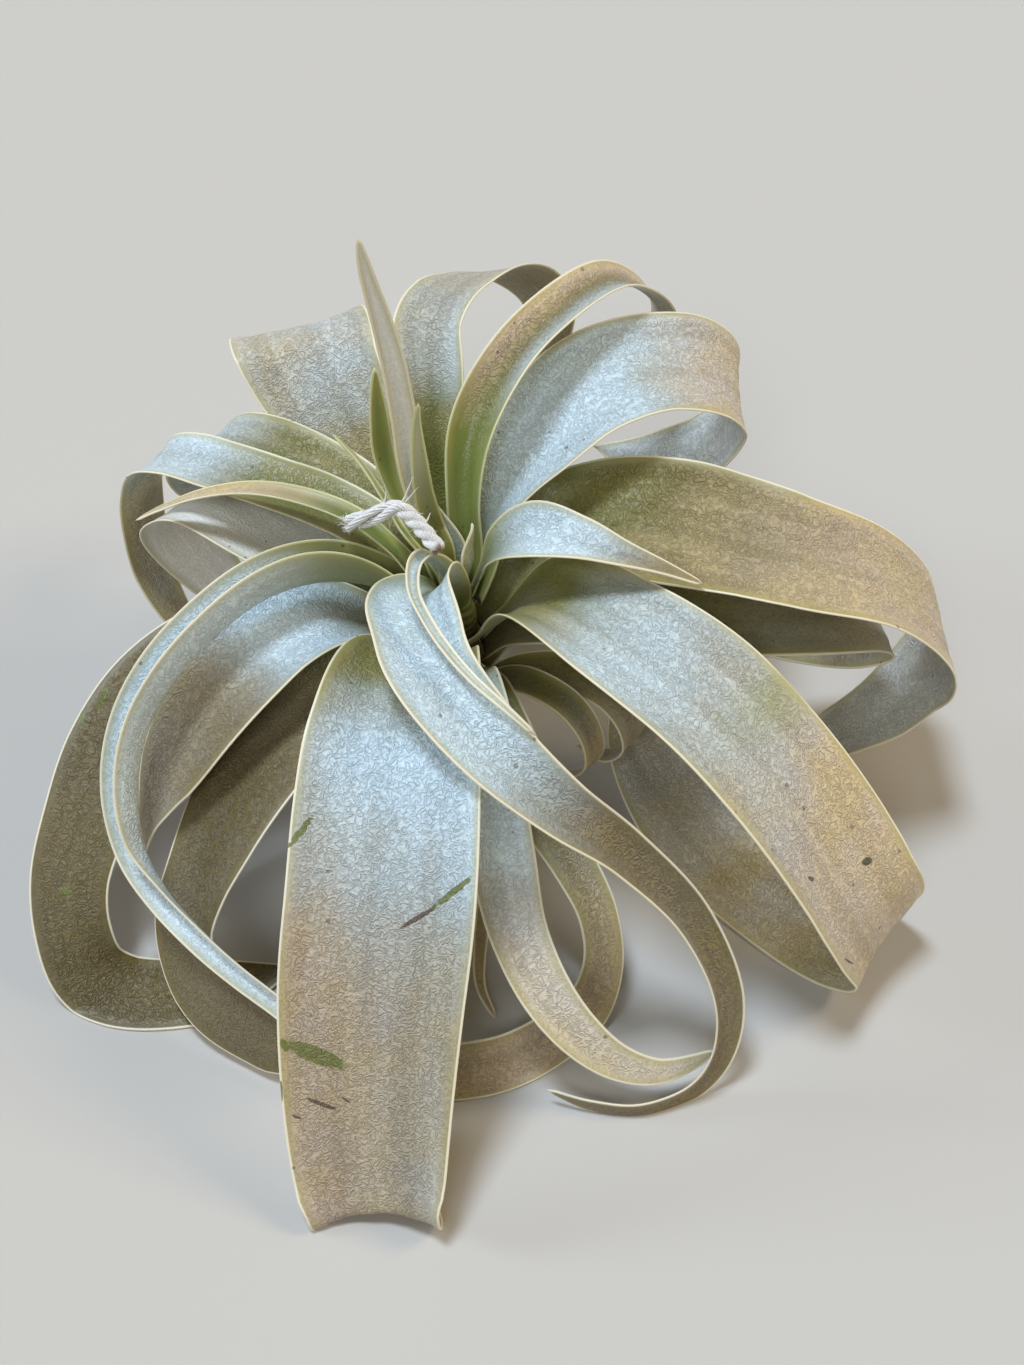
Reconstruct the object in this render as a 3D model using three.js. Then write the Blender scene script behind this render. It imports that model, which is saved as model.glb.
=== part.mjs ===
// Xerographica air plant: a free-standing rosette of curling silver leaves on a short woody stem,
// with the frayed end of a cotton cord tucked into its crown. Millimetres, +Z up, the table at z = 0.
import * as THREE from "three";
import { mergeVertices } from "three/addons/utils/BufferGeometryUtils.js";

// Stem
const STEM_TOP = 93;
const STEM_BOTTOM = 34;
const STEM_TOP_RADIUS = 1.6;
const STEM_NECK = 79;
const STEM_NECK_RADIUS = 6.5;
const STEM_FOOT_RADIUS = 8.5;
const STEM_SIDES = 20;

// Leaf bases: each leaf leaves the stem a little lower and flatter than the one inside it
const FIRST_BASE_HEIGHT = 92;
const BASE_STEP = 1.5;
const FIRST_PITCH = 78;
const PITCH_STEP = 1.3;
const BASE_RUN = 12;
const BASE_CLEARANCE = 1.25;
const BASE_HALF_WIDTH = 6.5;
const BASE_RUN_HALF_WIDTH = 8.5;
const BASE_CUP_LIMIT = 165;

// Leaf blades
const MIDRIB_THICKNESS = 1.0;
const MARGIN_THICKNESS = 0.64;
const SEGMENTS = 22;
const PANELS = 4;
const BEND_WEIGHT = 26;
const BEND_REACH = 3;

// Cord: a short loose end of soft cotton cord that lies across the innermost leaves
const CORD_DIAMETER = 5;
const CORD_SIDES = 10;
const CORD_STEPS = 8;
const CORD_ROUTE = [
  [-33.9, 6.95, 111.05], [-29, 4.1, 116.3], [-23, 3.4, 120], [-17, 2.4, 123],
  [-12.8, -0.9, 122], [-8.6, -6.4, 121], [-4.2, -12.4, 119.4],
];

const rad = THREE.MathUtils.degToRad;

const LOOK = {
  leaf: { color: 0x9fa99c, roughness: 0.78, metalness: 0 },
  stem: { color: 0x6b5138, roughness: 0.9, metalness: 0 },
  cord: { color: 0xd9cfc4, roughness: 0.95, metalness: 0 },
};

// One leaf per entry, inside first. A station is
// [x, y, z, half width, roll, cup]: millimetres from the stem's axis and the table, then degrees.
// Roll lifts the left margin seen from the crown; cup is the angle the cross-section turns through.
const LEAVES = [
  { name: "leaf_heart_bud", order: 0, azimuth: -20, crease: 1, base: 0.6,
    stations: [
      [5.2, -0.8, 109, 4.2, 0, 105], [5.8, 1.2, 114.5, 2.4, 0, 80], [5.6, 2.2, 116.8, 0.9, 0, 0],
    ] },
  { name: "leaf_heart_spike", order: 1, azimuth: 125, crease: 1, base: 0.42,
    stations: [
      [-7, 10, 106, 4.2, 0, 90], [-10, 10, 120, 4.2, 0, 90], [-11, 10, 136, 3.4, 0, 80],
      [-11, 12, 150, 1.8, 0, 50], [-10, 12, 158, 0.8, 0, 0],
    ] },
  { name: "leaf_heart_needle", order: 2, azimuth: 190, crease: 1, base: 0.25,
    stations: [
      [-16.5, 6.5, 107.5, 2.6, 0, 90], [-24, 17, 115, 2.5, 0, 80], [-31, 25, 122, 1.8, 0, 40],
      [-39, 29, 130, 0.8, 0, 0],
    ] },
  { name: "leaf_upright_pale", order: 4, azimuth: 105, crease: 0.6, base: 0.75,
    stations: [
      [-11, 17, 110, 5.4, 0, 110], [-15, 20, 128, 5.5, 0, 120], [-16.5, 22, 147, 5.5, 0, 125],
      [-18.5, 22, 167, 5, 0, 120], [-20.5, 18, 185, 4.2, 0, 110], [-23, 12, 206, 2.6, 0, 80],
      [-24, 7, 222, 0.8, 0, 0],
    ] },
  { name: "leaf_front_long", order: 5, azimuth: -105, crease: 0.6, base: 1,
    stations: [
      [-7.6, -16.2, 103.8, 15.6, 19, 103], [-11.2, -26, 108, 16.2, 13, 94], [-9.6, -40, 111, 15.8, 6, 88],
      [-5, -58, 112.5, 14.8, 2, 85], [11, -78, 105, 13, -4, 75], [31, -90, 91, 11, -8, 90],
      [50.5, -94.5, 74, 9.6, -10, 108], [71, -104, 53, 8.6, -10, 116], [83, -118, 30, 7.2, -6, 105],
      [82, -128, 13, 6, 0, 85], [74, -135, 4, 5.2, 0, 50], [58, -141, 2, 4.3, 0, 20], [43, -140, 3, 3, 0, 0],
      [29, -136, 6, 0.9, 0, 0],
    ] },
  { name: "leaf_upright_green", order: 6, azimuth: 134, crease: 1, base: 0.5,
    stations: [
      [-19, 24, 106, 3.4, 0, 60], [-24, 32, 119, 4.6, 0, 90], [-25, 36, 132, 3.8, 0, 80],
      [-25, 39, 149, 0.9, 0, 0],
    ] },
  { name: "leaf_back_channel", order: 7, azimuth: 67, crease: 0.6, base: 0.62,
    stations: [
      [4, 19, 109, 7.5, 0, 120], [7, 33, 128, 10, 0, 120], [19, 51, 142, 10, 0, 105],
      [37, 71, 148, 9.5, 0, 90], [51, 85, 146, 9, 0, 80], [63, 95, 134, 8.5, 0, 70],
      [70, 104, 115, 7.5, 0, 60], [68, 110, 92, 6, 0, 40], [60, 112, 72, 3.5, 0, 20], [54, 112, 62, 0.9, 0, 0],
    ] },
  { name: "leaf_left_narrow", order: 8, azimuth: 176, crease: 1, base: 0.72,
    stations: [
      [-20, 5, 101, 5, 0, 90], [-34, 14, 106, 6.5, 0, 100], [-51, 20, 109, 6.5, 0, 90],
      [-67, 23, 110, 5.5, 0, 70], [-84, 25, 106, 4, 0, 50], [-98, 26, 99, 2.5, 0, 30],
      [-107, 27, 93, 0.9, 0, 0],
    ] },
  { name: "leaf_back_right", order: 9, azimuth: 52, crease: 1, base: 0.9,
    stations: [
      [12, 21, 103, 11.5, 0, 100], [27, 38, 117, 18.5, 0, 75], [43, 51, 127, 21.5, 0, 55],
      [63, 60, 130, 22.5, 0, 35], [84, 66, 125, 21.5, 8, 20], [95, 71, 111, 19.5, 16, 15],
      [93, 73, 95, 17.5, 18, 10], [82, 75, 80, 14.5, 10, 10], [68, 80, 73, 9, 0, 10], [56, 86, 69, 4, 0, 0],
      [48, 91, 67, 1, 0, 0],
    ] },
  { name: "leaf_left_hoop", order: 12, azimuth: 188, crease: 0.3, base: 0.96,
    stations: [
      [-22.8, -2, 91.3, 10.3, 6, 148], [-35, -4, 97, 13, 16, 172], [-47, -9, 101, 14, 23, 180],
      [-60, -18, 103, 14, 25, 180], [-75, -30, 98, 14, 25, 176], [-86, -40, 91, 13.5, 25, 172],
      [-94, -49, 81, 13, 25, 166], [-98, -58, 71, 12.5, 25, 160], [-99, -67, 60, 11.6, 24, 152],
      [-97, -76, 49, 9.8, 18, 140], [-90, -87, 42, 7.6, 8, 120], [-77, -101, 37, 6, 0, 100],
      [-66, -110, 33, 5.2, 0, 90], [-55, -118, 30, 4.6, 0, 80], [-45, -126, 28, 3.8, 0, 60],
      [-36, -131, 27, 2.6, 0, 30], [-30, -134, 27, 0.9, 0, 0],
    ] },
  { name: "leaf_right_short", order: 4, azimuth: 0, crease: 1, base: 0.46,
    stations: [
      [13.5, -1, 107.5, 8.3, 0, 104], [24, -2.5, 115.5, 12, 0, 88], [39, -7, 118.3, 8.4, 0, 62],
      [53, -11, 116, 5, 0, 42], [66, -13.5, 112.5, 2.7, 0, 22], [78, -15.5, 107.5, 0.9, 0, 0],
    ] },
  { name: "leaf_back_blue", order: 14, azimuth: 99, crease: 1, base: 0.85,
    stations: [
      [-6, 28, 104, 7.2, 0, 80], [-8, 38, 123, 11.5, 0, 85], [-9, 51, 137, 12, 0, 60],
      [-9, 64, 145, 11.6, -8, 50], [-4, 75, 148, 11.6, -20, 40], [3, 84, 147, 12, -32, 30],
      [12, 95, 142, 12, -42, 25], [23, 106, 131, 11.2, -50, 20], [31, 115, 113, 9.8, -45, 15],
      [31, 121, 88, 7, -30, 10], [26, 123, 64, 3, 0, 0], [22, 123, 54, 0.9, 0, 0],
    ] },
  { name: "leaf_right_front", order: 15, azimuth: -35, crease: 1, base: 1,
    stations: [
      [27, -15, 99, 19.5, 0, 85], [51, -34, 103, 23.5, 0, 50], [76, -52, 97, 25, 0, 35],
      [98, -68, 82, 25.2, 0, 20], [117, -82, 61, 24.5, 3, 18], [130, -91, 41, 22.5, 8, 22],
      [138, -89, 21, 20.5, 12, 28], [135, -83, 7, 19.5, 12, 20], [120, -73, 2.5, 19.5, 6, 0],
      [95, -50, 3, 19, 0, 0], [77, -30, 8, 16.5, 0, 0], [64, -9, 14, 12, 0, 0], [57, 6, 21, 6, 0, 0],
      [52, 15, 26, 1.2, 0, 0],
    ] },
  { name: "leaf_left_folded", order: 16, azimuth: 150, crease: 0.7, base: 1,
    stations: [
      [-27, 20, 91, 12, 0, 70], [-45, 30, 96, 13, 0, 65], [-61, 35, 99, 13, 0, 65], [-79, 42, 100, 13, 0, 65],
      [-93, 50, 98, 12.5, 0, 60], [-104, 57, 92, 12, 0, 40], [-110, 61, 79, 11.5, 0, 30],
      [-113, 62, 60, 11, 0, 20], [-112, 57, 38, 9.5, 0, 10], [-104, 48, 22, 7, 0, 0], [-92, 40, 13, 3.5, 0, 0],
      [-86, 36, 11, 1, 0, 0],
    ] },
  { name: "leaf_right_olive", order: 17, azimuth: 24, crease: 1, base: 1,
    stations: [
      [28, 20, 92, 18, 0, 80], [47, 18, 101, 22.5, 0, 60], [70, 12, 105, 24.5, 0, 40],
      [88, 6, 106, 24, -4, 30], [110, -1, 105, 22.5, -8, 28], [137, -1, 95, 20.5, -12, 22],
      [156, 1, 77, 19.5, -14, 15], [164, 3, 58, 18.5, -16, 10], [161, 8, 40, 18, -12, 5],
      [151, 4, 27, 17, -6, 5], [138, 0, 18, 15, 0, 0], [122, -6, 14, 11, 0, 0], [108, -12, 14, 6, 0, 0],
      [100, -15, 15, 1.2, 0, 0],
    ] },
  { name: "leaf_back_left_low", order: 18, azimuth: 138, crease: 1, base: 1,
    stations: [
      [-22, 26, 81, 14, 0, 70], [-37, 40, 88, 16.5, -4, 50], [-56, 52, 91, 17.5, -8, 30],
      [-73, 62, 91, 17.5, -7, 20], [-86, 71, 86, 17, -3, 15], [-94, 79, 75, 15, 0, 10],
      [-97, 86, 58, 11, 0, 0], [-95, 90, 44, 6, 0, 0], [-92, 92, 34, 1.2, 0, 0],
    ] },
  { name: "leaf_front_broad", order: 19, azimuth: -98, crease: 1, base: 1,
    stations: [
      [-12, -38, 97, 22, 0, 60], [-16, -66, 99, 27, 0, 35], [-18, -88, 91, 28.5, 0, 25],
      [-20, -111, 75, 29, 0, 20], [-23, -132, 54, 28.5, 0, 20], [-24, -152, 32, 26.5, 0, 30],
      [-23, -169, 13, 24, 0, 50], [-22, -176, 5, 22, 0, 58], [-21, -170, 0.8, 20, 0, 30],
      [-19, -158, 4, 16, 0, 0], [-17, -148, 9, 10, 0, 0], [-16, -140, 14, 4, 0, 0], [-15, -136, 16, 1.2, 0, 0],
    ] },
  { name: "leaf_back_left_broad", order: 20, azimuth: 114, crease: 1, base: 1,
    stations: [
      [-20, 48, 77, 14, 0, 60], [-36, 72.5, 88.5, 18, -22, 24], [-49, 90, 100, 23, -22, 18],
      [-56, 104, 107, 25, -10, 16], [-60, 118, 99, 23.5, 0, 16], [-60, 129, 78, 20, 0, 0],
      [-57, 131, 54, 14, 0, 0], [-52, 128, 36, 7, 0, 0], [-49, 125, 26, 1.5, 0, 0],
    ] },
  { name: "leaf_left_front_blue", order: 21, azimuth: -155, crease: 0.8, base: 1,
    stations: [
      [-28, -8, 79, 14, 0, 80], [-43, -14, 88, 18.5, 0, 70], [-56, -23, 89, 19.5, 0, 60],
      [-67, -33, 86, 19.5, 0, 45], [-78, -43, 78, 18, 0, 35], [-87, -51, 67, 15, 0, 25],
      [-94, -58, 57, 11, 0, 15], [-98, -63, 48, 7, 0, 0], [-99, -67, 42, 3, 0, 0], [-99, -69, 39, 1.2, 0, 0],
    ] },
  { name: "leaf_left_broad", order: 22, azimuth: 173, crease: 1, base: 0.85,
    stations: [
      [-26, 11, 69.5, 11, 0, 50], [-45, 18, 79, 15.5, 4, 35], [-64, 27, 87, 18.5, 8, 25],
      [-82, 40, 88, 18.5, 6, 20], [-95, 51, 78, 17.5, 0, 10], [-101, 59, 62, 15.5, 0, 0],
      [-97, 61, 43, 12.5, 0, 0], [-86, 57, 28, 9, 0, 0], [-74, 51, 20, 4, 0, 0], [-68, 47, 18, 1.2, 0, 0],
    ] },
  { name: "leaf_right_low", order: 23, azimuth: 8, crease: 1, base: 1,
    stations: [
      [30, 2, 74, 16, 0, 70], [60, -3, 80, 18.5, 0, 50], [87, -1, 79, 19.5, 0, 35], [116, 5, 72, 18, 0, 20],
      [138, 14, 61, 16, 0, 10], [145, 19, 50, 14, 0, 0], [137, 22, 41, 12, 0, 0], [121, 23, 37, 8.5, 0, 0],
      [106, 22, 36, 4, 0, 0], [97, 20, 36, 1.2, 0, 0],
    ] },
  { name: "leaf_front_narrow", order: 24, azimuth: -80, crease: 1, base: 1,
    stations: [
      [4, -32, 79, 11, 0, 60], [7, -50, 79, 12, 0, 45], [10, -68, 73, 12, 0, 30], [15, -87, 62, 10.5, 0, 25],
      [20, -104, 47, 9.2, 0, 25], [28, -118, 36, 8.4, 0, 30], [38, -127, 26, 7.4, 0, 30],
      [50, -132, 17, 6, 0, 25], [63, -133, 12, 4.4, 0, 10], [75, -129, 11, 2.6, 0, 0],
      [82, -125, 11, 0.9, 0, 0],
    ] },
  { name: "leaf_left_dark", order: 25, azimuth: -134, crease: 0.9, base: 0.85,
    stations: [
      [-23, -17.5, 71.5, 12.5, 0, 65], [-37, -30, 74.5, 17, 0, 50], [-50, -46, 73, 18.5, 0, 40],
      [-62, -59, 67, 18.5, 0, 30], [-72, -70.5, 56, 17, 0, 25], [-81, -80.5, 41, 14.6, 0, 15],
      [-86, -90, 29, 14, 0, 5], [-84, -101, 20, 13.6, 0, 0], [-76, -112, 17, 13.4, 0, 0],
      [-62, -121, 15, 13, 0, 0], [-49, -128, 14, 11, 0, 0], [-39, -131, 15, 6, 0, 0],
      [-31, -131, 17, 1.2, 0, 0],
    ] },
  { name: "leaf_back_low", order: 26, azimuth: 84, crease: 1, base: 1,
    stations: [
      [3, 30, 66, 12, 0, 55], [8, 55, 76, 17, 0, 45], [12, 82, 78, 19, 0, 30], [14, 110, 66, 18, 0, 15],
      [14, 127, 42, 16, 0, 0], [12, 134, 18, 14, 0, 0], [8, 128, 2, 11, 0, 0], [4, 108, 1, 8, 0, 0],
      [2, 92, 4, 1.5, 0, 0],
    ] },
  { name: "leaf_front_loop", order: 27, azimuth: -65, crease: 1, base: 1,
    stations: [
      [11, -28, 62, 10, 0, 55], [19, -46, 57, 10, 0, 40], [28, -61, 49, 9, 0, 30], [37.5, -73, 39, 7.6, 0, 20],
      [45.5, -85, 28, 6.8, 0, 15], [47.5, -96, 17, 7, 0, 10], [43, -107, 8, 8, 0, 0], [32, -117, 4.5, 9, 0, 0],
      [17, -126, 4, 9.6, 0, 0], [0, -130, 5, 9.4, 0, 0], [-14, -130, 6, 7.5, 0, 0], [-26, -127, 8, 1.2, 0, 0],
    ] },
  { name: "leaf_far_left", order: 28, azimuth: 171, crease: 1, base: 1,
    stations: [
      [-27, 6, 62, 14, 0, 55], [-52, 3, 63.5, 17.5, -2, 45], [-78, -1, 62, 19, -4, 35],
      [-98, -16, 58, 19, -8, 30], [-112, -36, 50, 17.5, -12, 20], [-120, -56, 40, 15.5, -14, 10],
      [-125, -73, 29, 13.8, -18, 5], [-124, -86, 18, 12.8, -28, 5], [-119, -95, 7, 12.8, -45, 0],
      [-109, -99, 1.6, 13, -62, 0], [-95, -99.5, 1, 12.6, -75, 0], [-80, -98, 1, 11, -78, 0],
      [-64, -93, 1.5, 6.5, -78, 0], [-52, -89, 2.5, 1.2, -78, 0],
    ] },
  { name: "leaf_back_left_under", order: 29, azimuth: 118, crease: 1, base: 1,
    stations: [
      [-21, 32, 62, 14, 0, 60], [-38, 58, 68, 18, 0, 45], [-52, 84, 58, 18, 0, 30], [-60, 103, 38, 16, 0, 15],
      [-62, 109, 17, 13, 0, 0], [-55, 101, 3, 10, 0, 0], [-45, 88, 2, 6, 0, 0], [-39, 78, 5, 1.2, 0, 0],
    ] },
  { name: "leaf_small_curl", order: 30, azimuth: -30, crease: 1, base: 0.75,
    stations: [
      [26, -17, 60, 6, 0, 50], [37, -23, 56.5, 6, 0, 40], [44, -27, 46, 6, 0, 30], [45, -30, 36, 6, 0, 20],
      [39, -30, 29, 5, 0, 0], [30, -26, 27, 1, 0, 0],
    ] },
  { name: "leaf_back_right_under", order: 31, azimuth: 45, crease: 1, base: 1,
    stations: [
      [22, 22, 58, 14, 0, 60], [46, 46, 64, 18, 0, 45], [70, 68, 54, 18, 0, 30], [88, 86, 35, 16, 0, 15],
      [94, 92, 14, 13, 0, 0], [84, 82, 2, 10, 0, 0], [68, 66, 2, 5, 0, 0], [58, 58, 5, 1.2, 0, 0],
    ] },
  { name: "leaf_right_dark", order: 32, azimuth: -9, crease: 1, base: 0.8,
    stations: [
      [32, -4.5, 52, 9, 0, 40], [48, -8, 49, 10, 0, 30], [57, -13, 41, 10, 0, 20], [59, -17, 31, 9, 0, 10],
      [52, -17, 23, 7, 0, 0], [44, -13, 21, 3, 0, 0], [40, -11, 21, 1, 0, 0],
    ] },
  { name: "leaf_front_thin", order: 33, azimuth: -88, crease: 1, base: 0.8,
    stations: [
      [3, -26, 48, 8, 0, 50], [7, -48, 48, 7, 0, 40], [11, -68, 34, 4, 0, 30], [8, -88, 16, 2.4, 0, 20],
      [8, -100, 8, 1.8, 0, 10], [13, -110, 4, 0.9, 0, 0],
    ] },
  { name: "leaf_front_slender", order: 3, azimuth: -98, crease: 0.5, base: 0.52,
    stations: [
      [-3.5, -8.2, 104.6, 5.2, -10, 140], [-8, -10, 112.4, 4.5, -27, 150], [-12, -17.5, 117.2, 3.8, -38, 150],
      [-12, -29, 118, 3, -38, 140], [-7.5, -42, 119.5, 2.6, -38, 130], [-1.5, -53, 119.5, 2.3, -35, 110],
      [6.5, -63, 118, 1.8, -25, 90], [16, -71, 115, 1.3, 0, 50], [25, -77, 109.5, 0.8, 0, 0],
    ] },
];

// Centripetal Catmull-Rom through rows of numbers; the first three are a position.
function splineSampler(rows) {
  const knots = [0];
  for (let i = 1; i < rows.length; i += 1) {
    const step = Math.hypot(rows[i][0] - rows[i - 1][0], rows[i][1] - rows[i - 1][1], rows[i][2] - rows[i - 1][2]);
    knots.push(knots[i - 1] + Math.sqrt(step));
  }
  const last = rows.length - 1;
  const extend = (a, b) => a.map((value, k) => 2 * value - b[k]);
  const padded = [extend(rows[0], rows[1]), ...rows, extend(rows[last], rows[last - 1])];
  const times = [knots[0] - (knots[1] - knots[0]), ...knots, knots[last] + (knots[last] - knots[last - 1])];
  const end = knots[last];
  const at = (fraction) => {
    const t = Math.min(fraction * end, end - 1e-9);
    let i = 1;
    while (i < last && t >= times[i + 1]) {
      i += 1;
    }
    const [t0, t1, t2, t3] = times.slice(i - 1, i + 3);
    return padded[i].map((unused, k) => {
      const [p0, p1, p2, p3] = [padded[i - 1][k], padded[i][k], padded[i + 1][k], padded[i + 2][k]];
      const a1 = ((t1 - t) * p0 + (t - t0) * p1) / (t1 - t0);
      const a2 = ((t2 - t) * p1 + (t - t1) * p2) / (t2 - t1);
      const a3 = ((t3 - t) * p2 + (t - t2) * p3) / (t3 - t2);
      const b1 = ((t2 - t) * a1 + (t - t0) * a2) / (t2 - t0);
      const b2 = ((t3 - t) * a2 + (t - t1) * a3) / (t3 - t1);
      return ((t2 - t) * b1 + (t - t1) * b2) / (t2 - t1);
    });
  };
  return at;
}

function stemRadius(height) {
  if (height > STEM_NECK) {
    const share = (STEM_TOP - height) / (STEM_TOP - STEM_NECK);
    return STEM_TOP_RADIUS + (STEM_NECK_RADIUS - STEM_TOP_RADIUS) * share;
  }
  const share = (STEM_NECK - height) / (STEM_NECK - STEM_BOTTOM);
  return STEM_NECK_RADIUS + (STEM_FOOT_RADIUS - STEM_NECK_RADIUS) * share;
}

// The leaf's own first two stations, on the stem, followed by its hand-set ones.
function stationRows(leaf) {
  const pitch = rad(FIRST_PITCH - PITCH_STEP * leaf.order);
  const height = FIRST_BASE_HEIGHT - BASE_STEP * leaf.order;
  const radius = stemRadius(height) + BASE_CLEARANCE;
  const direction = [Math.cos(rad(leaf.azimuth)), Math.sin(rad(leaf.azimuth))];
  const rows = [0, BASE_RUN].map((run, i) => {
    const reach = radius + run * Math.cos(pitch);
    const half = (i === 0 ? BASE_HALF_WIDTH : BASE_RUN_HALF_WIDTH) * leaf.base;
    const cup = Math.min(BASE_CUP_LIMIT, THREE.MathUtils.radToDeg((2 * half * Math.sin(pitch)) / reach));
    return [reach * direction[0], reach * direction[1], height + run * Math.sin(pitch), half, 0, cup];
  });
  return [...rows, ...leaf.stations];
}

// Evenly walks the spline, with shorter steps where the blade bends.
function walk(at, count) {
  const fine = 400;
  const points = Array.from({ length: fine + 1 }, (unused, i) => new THREE.Vector3(...at(i / fine)));
  const measure = [0];
  const length = points.slice(1).reduce((sum, p, i) => sum + p.distanceTo(points[i]), 0);
  for (let i = 1; i <= fine; i += 1) {
    const step = points[i].distanceTo(points[i - 1]);
    const before = points[Math.max(i - 3, 0)];
    const after = points[Math.min(i + 3, fine)];
    const turn = points[i].clone().sub(before).angleTo(after.clone().sub(points[i]));
    const reach = Math.max(points[i].distanceTo(before) + after.distanceTo(points[i]), BEND_REACH);
    measure.push(measure[i - 1] + step * (1 + (BEND_WEIGHT * 2 * (turn || 0)) / reach));
  }
  const total = measure[fine];
  const fractions = [];
  let j = 0;
  for (let i = 0; i <= count; i += 1) {
    const target = (total * i) / count;
    while (j < fine - 1 && measure[j + 1] < target) {
      j += 1;
    }
    const share = (target - measure[j]) / (measure[j + 1] - measure[j]);
    fractions.push((j + Math.min(Math.max(share, 0), 1)) / fine);
  }
  return { fractions, length };
}

// Frames along the midrib: tangent, side (towards the left margin) and face (the upper side).
function bladeFrames(leaf, count) {
  const at = splineSampler(stationRows(leaf));
  const { fractions, length } = walk(at, count);
  let side = new THREE.Vector3(-Math.sin(rad(leaf.azimuth)), Math.cos(rad(leaf.azimuth)), 0);
  return fractions.map((fraction) => {
    const row = at(fraction);
    const ahead = new THREE.Vector3(...at(Math.min(fraction + 1e-3, 1)));
    const behind = new THREE.Vector3(...at(Math.max(fraction - 1e-3, 0)));
    const tangent = ahead.sub(behind).normalize();
    side = side.clone().addScaledVector(tangent, -side.dot(tangent)).normalize();
    const face = tangent.clone().cross(side);
    const roll = rad(row[4]);
    return {
      centre: new THREE.Vector3(row[0], row[1], row[2]),
      side: side.clone().multiplyScalar(Math.cos(roll)).addScaledVector(face, Math.sin(roll)),
      face: face.clone().multiplyScalar(Math.cos(roll)).addScaledVector(side, -Math.sin(roll)),
      half: Math.max(row[3], 0.8),
      cup: rad(row[5]),
      fraction,
      length,
    };
  });
}

// Points across one station, from the right margin to the left one, with their local upward normals.
function crossSection(frame, crease) {
  const steps = PANELS / 2;
  const panel = frame.half / steps;
  const points = new Array(PANELS + 1);
  points[steps] = { along: 0, up: 0, slope: 0 };
  for (const sign of [-1, 1]) {
    let previous = points[steps];
    for (let i = 1; i <= steps; i += 1) {
      const slope = (frame.cup / 2) * Math.pow((i - 0.5) / steps, crease);
      const point = {
        along: previous.along + sign * panel * Math.cos(slope),
        up: previous.up + panel * Math.sin(slope),
        slope: sign * slope,
      };
      points[steps + sign * i] = point;
      previous = point;
    }
  }
  return points.map((point, i) => {
    const u = Math.abs(i - steps) / steps;
    const thickness = THREE.MathUtils.lerp(MIDRIB_THICKNESS, MARGIN_THICKNESS, u);
    const normal = frame.face.clone().multiplyScalar(Math.cos(point.slope))
      .addScaledVector(frame.side, -Math.sin(point.slope));
    const position = frame.centre.clone().addScaledVector(frame.side, point.along)
      .addScaledVector(frame.face, point.up);
    const top = position.clone().addScaledVector(normal, thickness / 2);
    const bottom = position.clone().addScaledVector(normal, -thickness / 2);
    const lift = Math.max(0, -Math.min(top.z, bottom.z));
    top.z += lift;
    bottom.z += lift;
    return { top, bottom };
  });
}

function bladeGeometry(leaf) {
  const frames = bladeFrames(leaf, SEGMENTS);
  const positions = [];
  const indices = [];
  const ring = 2 * (PANELS + 1);
  for (const frame of frames) {
    const section = crossSection(frame, leaf.crease);
    for (const point of section) {
      positions.push(...point.top.toArray());
    }
    for (const point of section.slice().reverse()) {
      positions.push(...point.bottom.toArray());
    }
  }
  const quad = (a, b, c, d) => indices.push(a, c, b, a, d, c);
  for (let i = 0; i < frames.length - 1; i += 1) {
    for (let k = 0; k < ring; k += 1) {
      const next = (k + 1) % ring;
      const [a, b] = [i * ring + k, i * ring + next];
      const [c, d] = [(i + 1) * ring + next, (i + 1) * ring + k];
      // The mirrored faces share one diagonal, so the blade stays evenly thick.
      if (k > PANELS) {
        indices.push(a, d, b, b, d, c);
      } else {
        quad(a, b, c, d);
      }
    }
  }
  const lastRing = (frames.length - 1) * ring;
  for (let k = 0; k < PANELS; k += 1) {
    quad(k, ring - 1 - k, ring - 2 - k, k + 1);
    quad(lastRing + k, lastRing + k + 1, lastRing + ring - 2 - k, lastRing + ring - 1 - k);
  }
  const geometry = new THREE.BufferGeometry();
  geometry.setAttribute("position", new THREE.Float32BufferAttribute(positions, 3));
  geometry.setIndex(indices);
  geometry.computeVertexNormals();
  return geometry;
}

function stemGeometry() {
  const profile = [
    [0, STEM_BOTTOM],
    [STEM_FOOT_RADIUS - 1, STEM_BOTTOM],
    [STEM_FOOT_RADIUS, STEM_BOTTOM + 1.5],
    [STEM_NECK_RADIUS, STEM_NECK],
    [STEM_TOP_RADIUS, STEM_TOP],
    [0, STEM_TOP],
  ].map(([radius, height]) => new THREE.Vector2(radius, height));
  const lathe = new THREE.LatheGeometry(profile, STEM_SIDES);
  lathe.rotateX(Math.PI / 2);
  lathe.deleteAttribute("uv");
  lathe.deleteAttribute("normal");
  const welded = mergeVertices(lathe, 1e-4);
  const kept = [];
  for (let i = 0; i < welded.index.count; i += 3) {
    const triangle = [0, 1, 2].map((k) => welded.index.getX(i + k));
    if (new Set(triangle).size === 3) {
      kept.push(...triangle);
    }
  }
  welded.setIndex(kept);
  welded.computeVertexNormals();
  return welded;
}

function cordGeometry() {
  const route = new THREE.CatmullRomCurve3(
    CORD_ROUTE.map(([x, y, z]) => new THREE.Vector3(x, y, z)),
    false,
    "centripetal",
  );
  const section = new THREE.Shape();
  for (let i = 0; i < CORD_SIDES; i += 1) {
    const turn = (2 * Math.PI * i) / CORD_SIDES;
    const x = (CORD_DIAMETER / 2) * Math.cos(turn);
    const y = (CORD_DIAMETER / 2) * Math.sin(turn);
    if (i === 0) {
      section.moveTo(x, y);
    } else {
      section.lineTo(x, y);
    }
  }
  section.closePath();
  return new THREE.ExtrudeGeometry(section, {
    steps: CORD_STEPS,
    bevelEnabled: false,
    extrudePath: route,
  });
}

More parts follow.
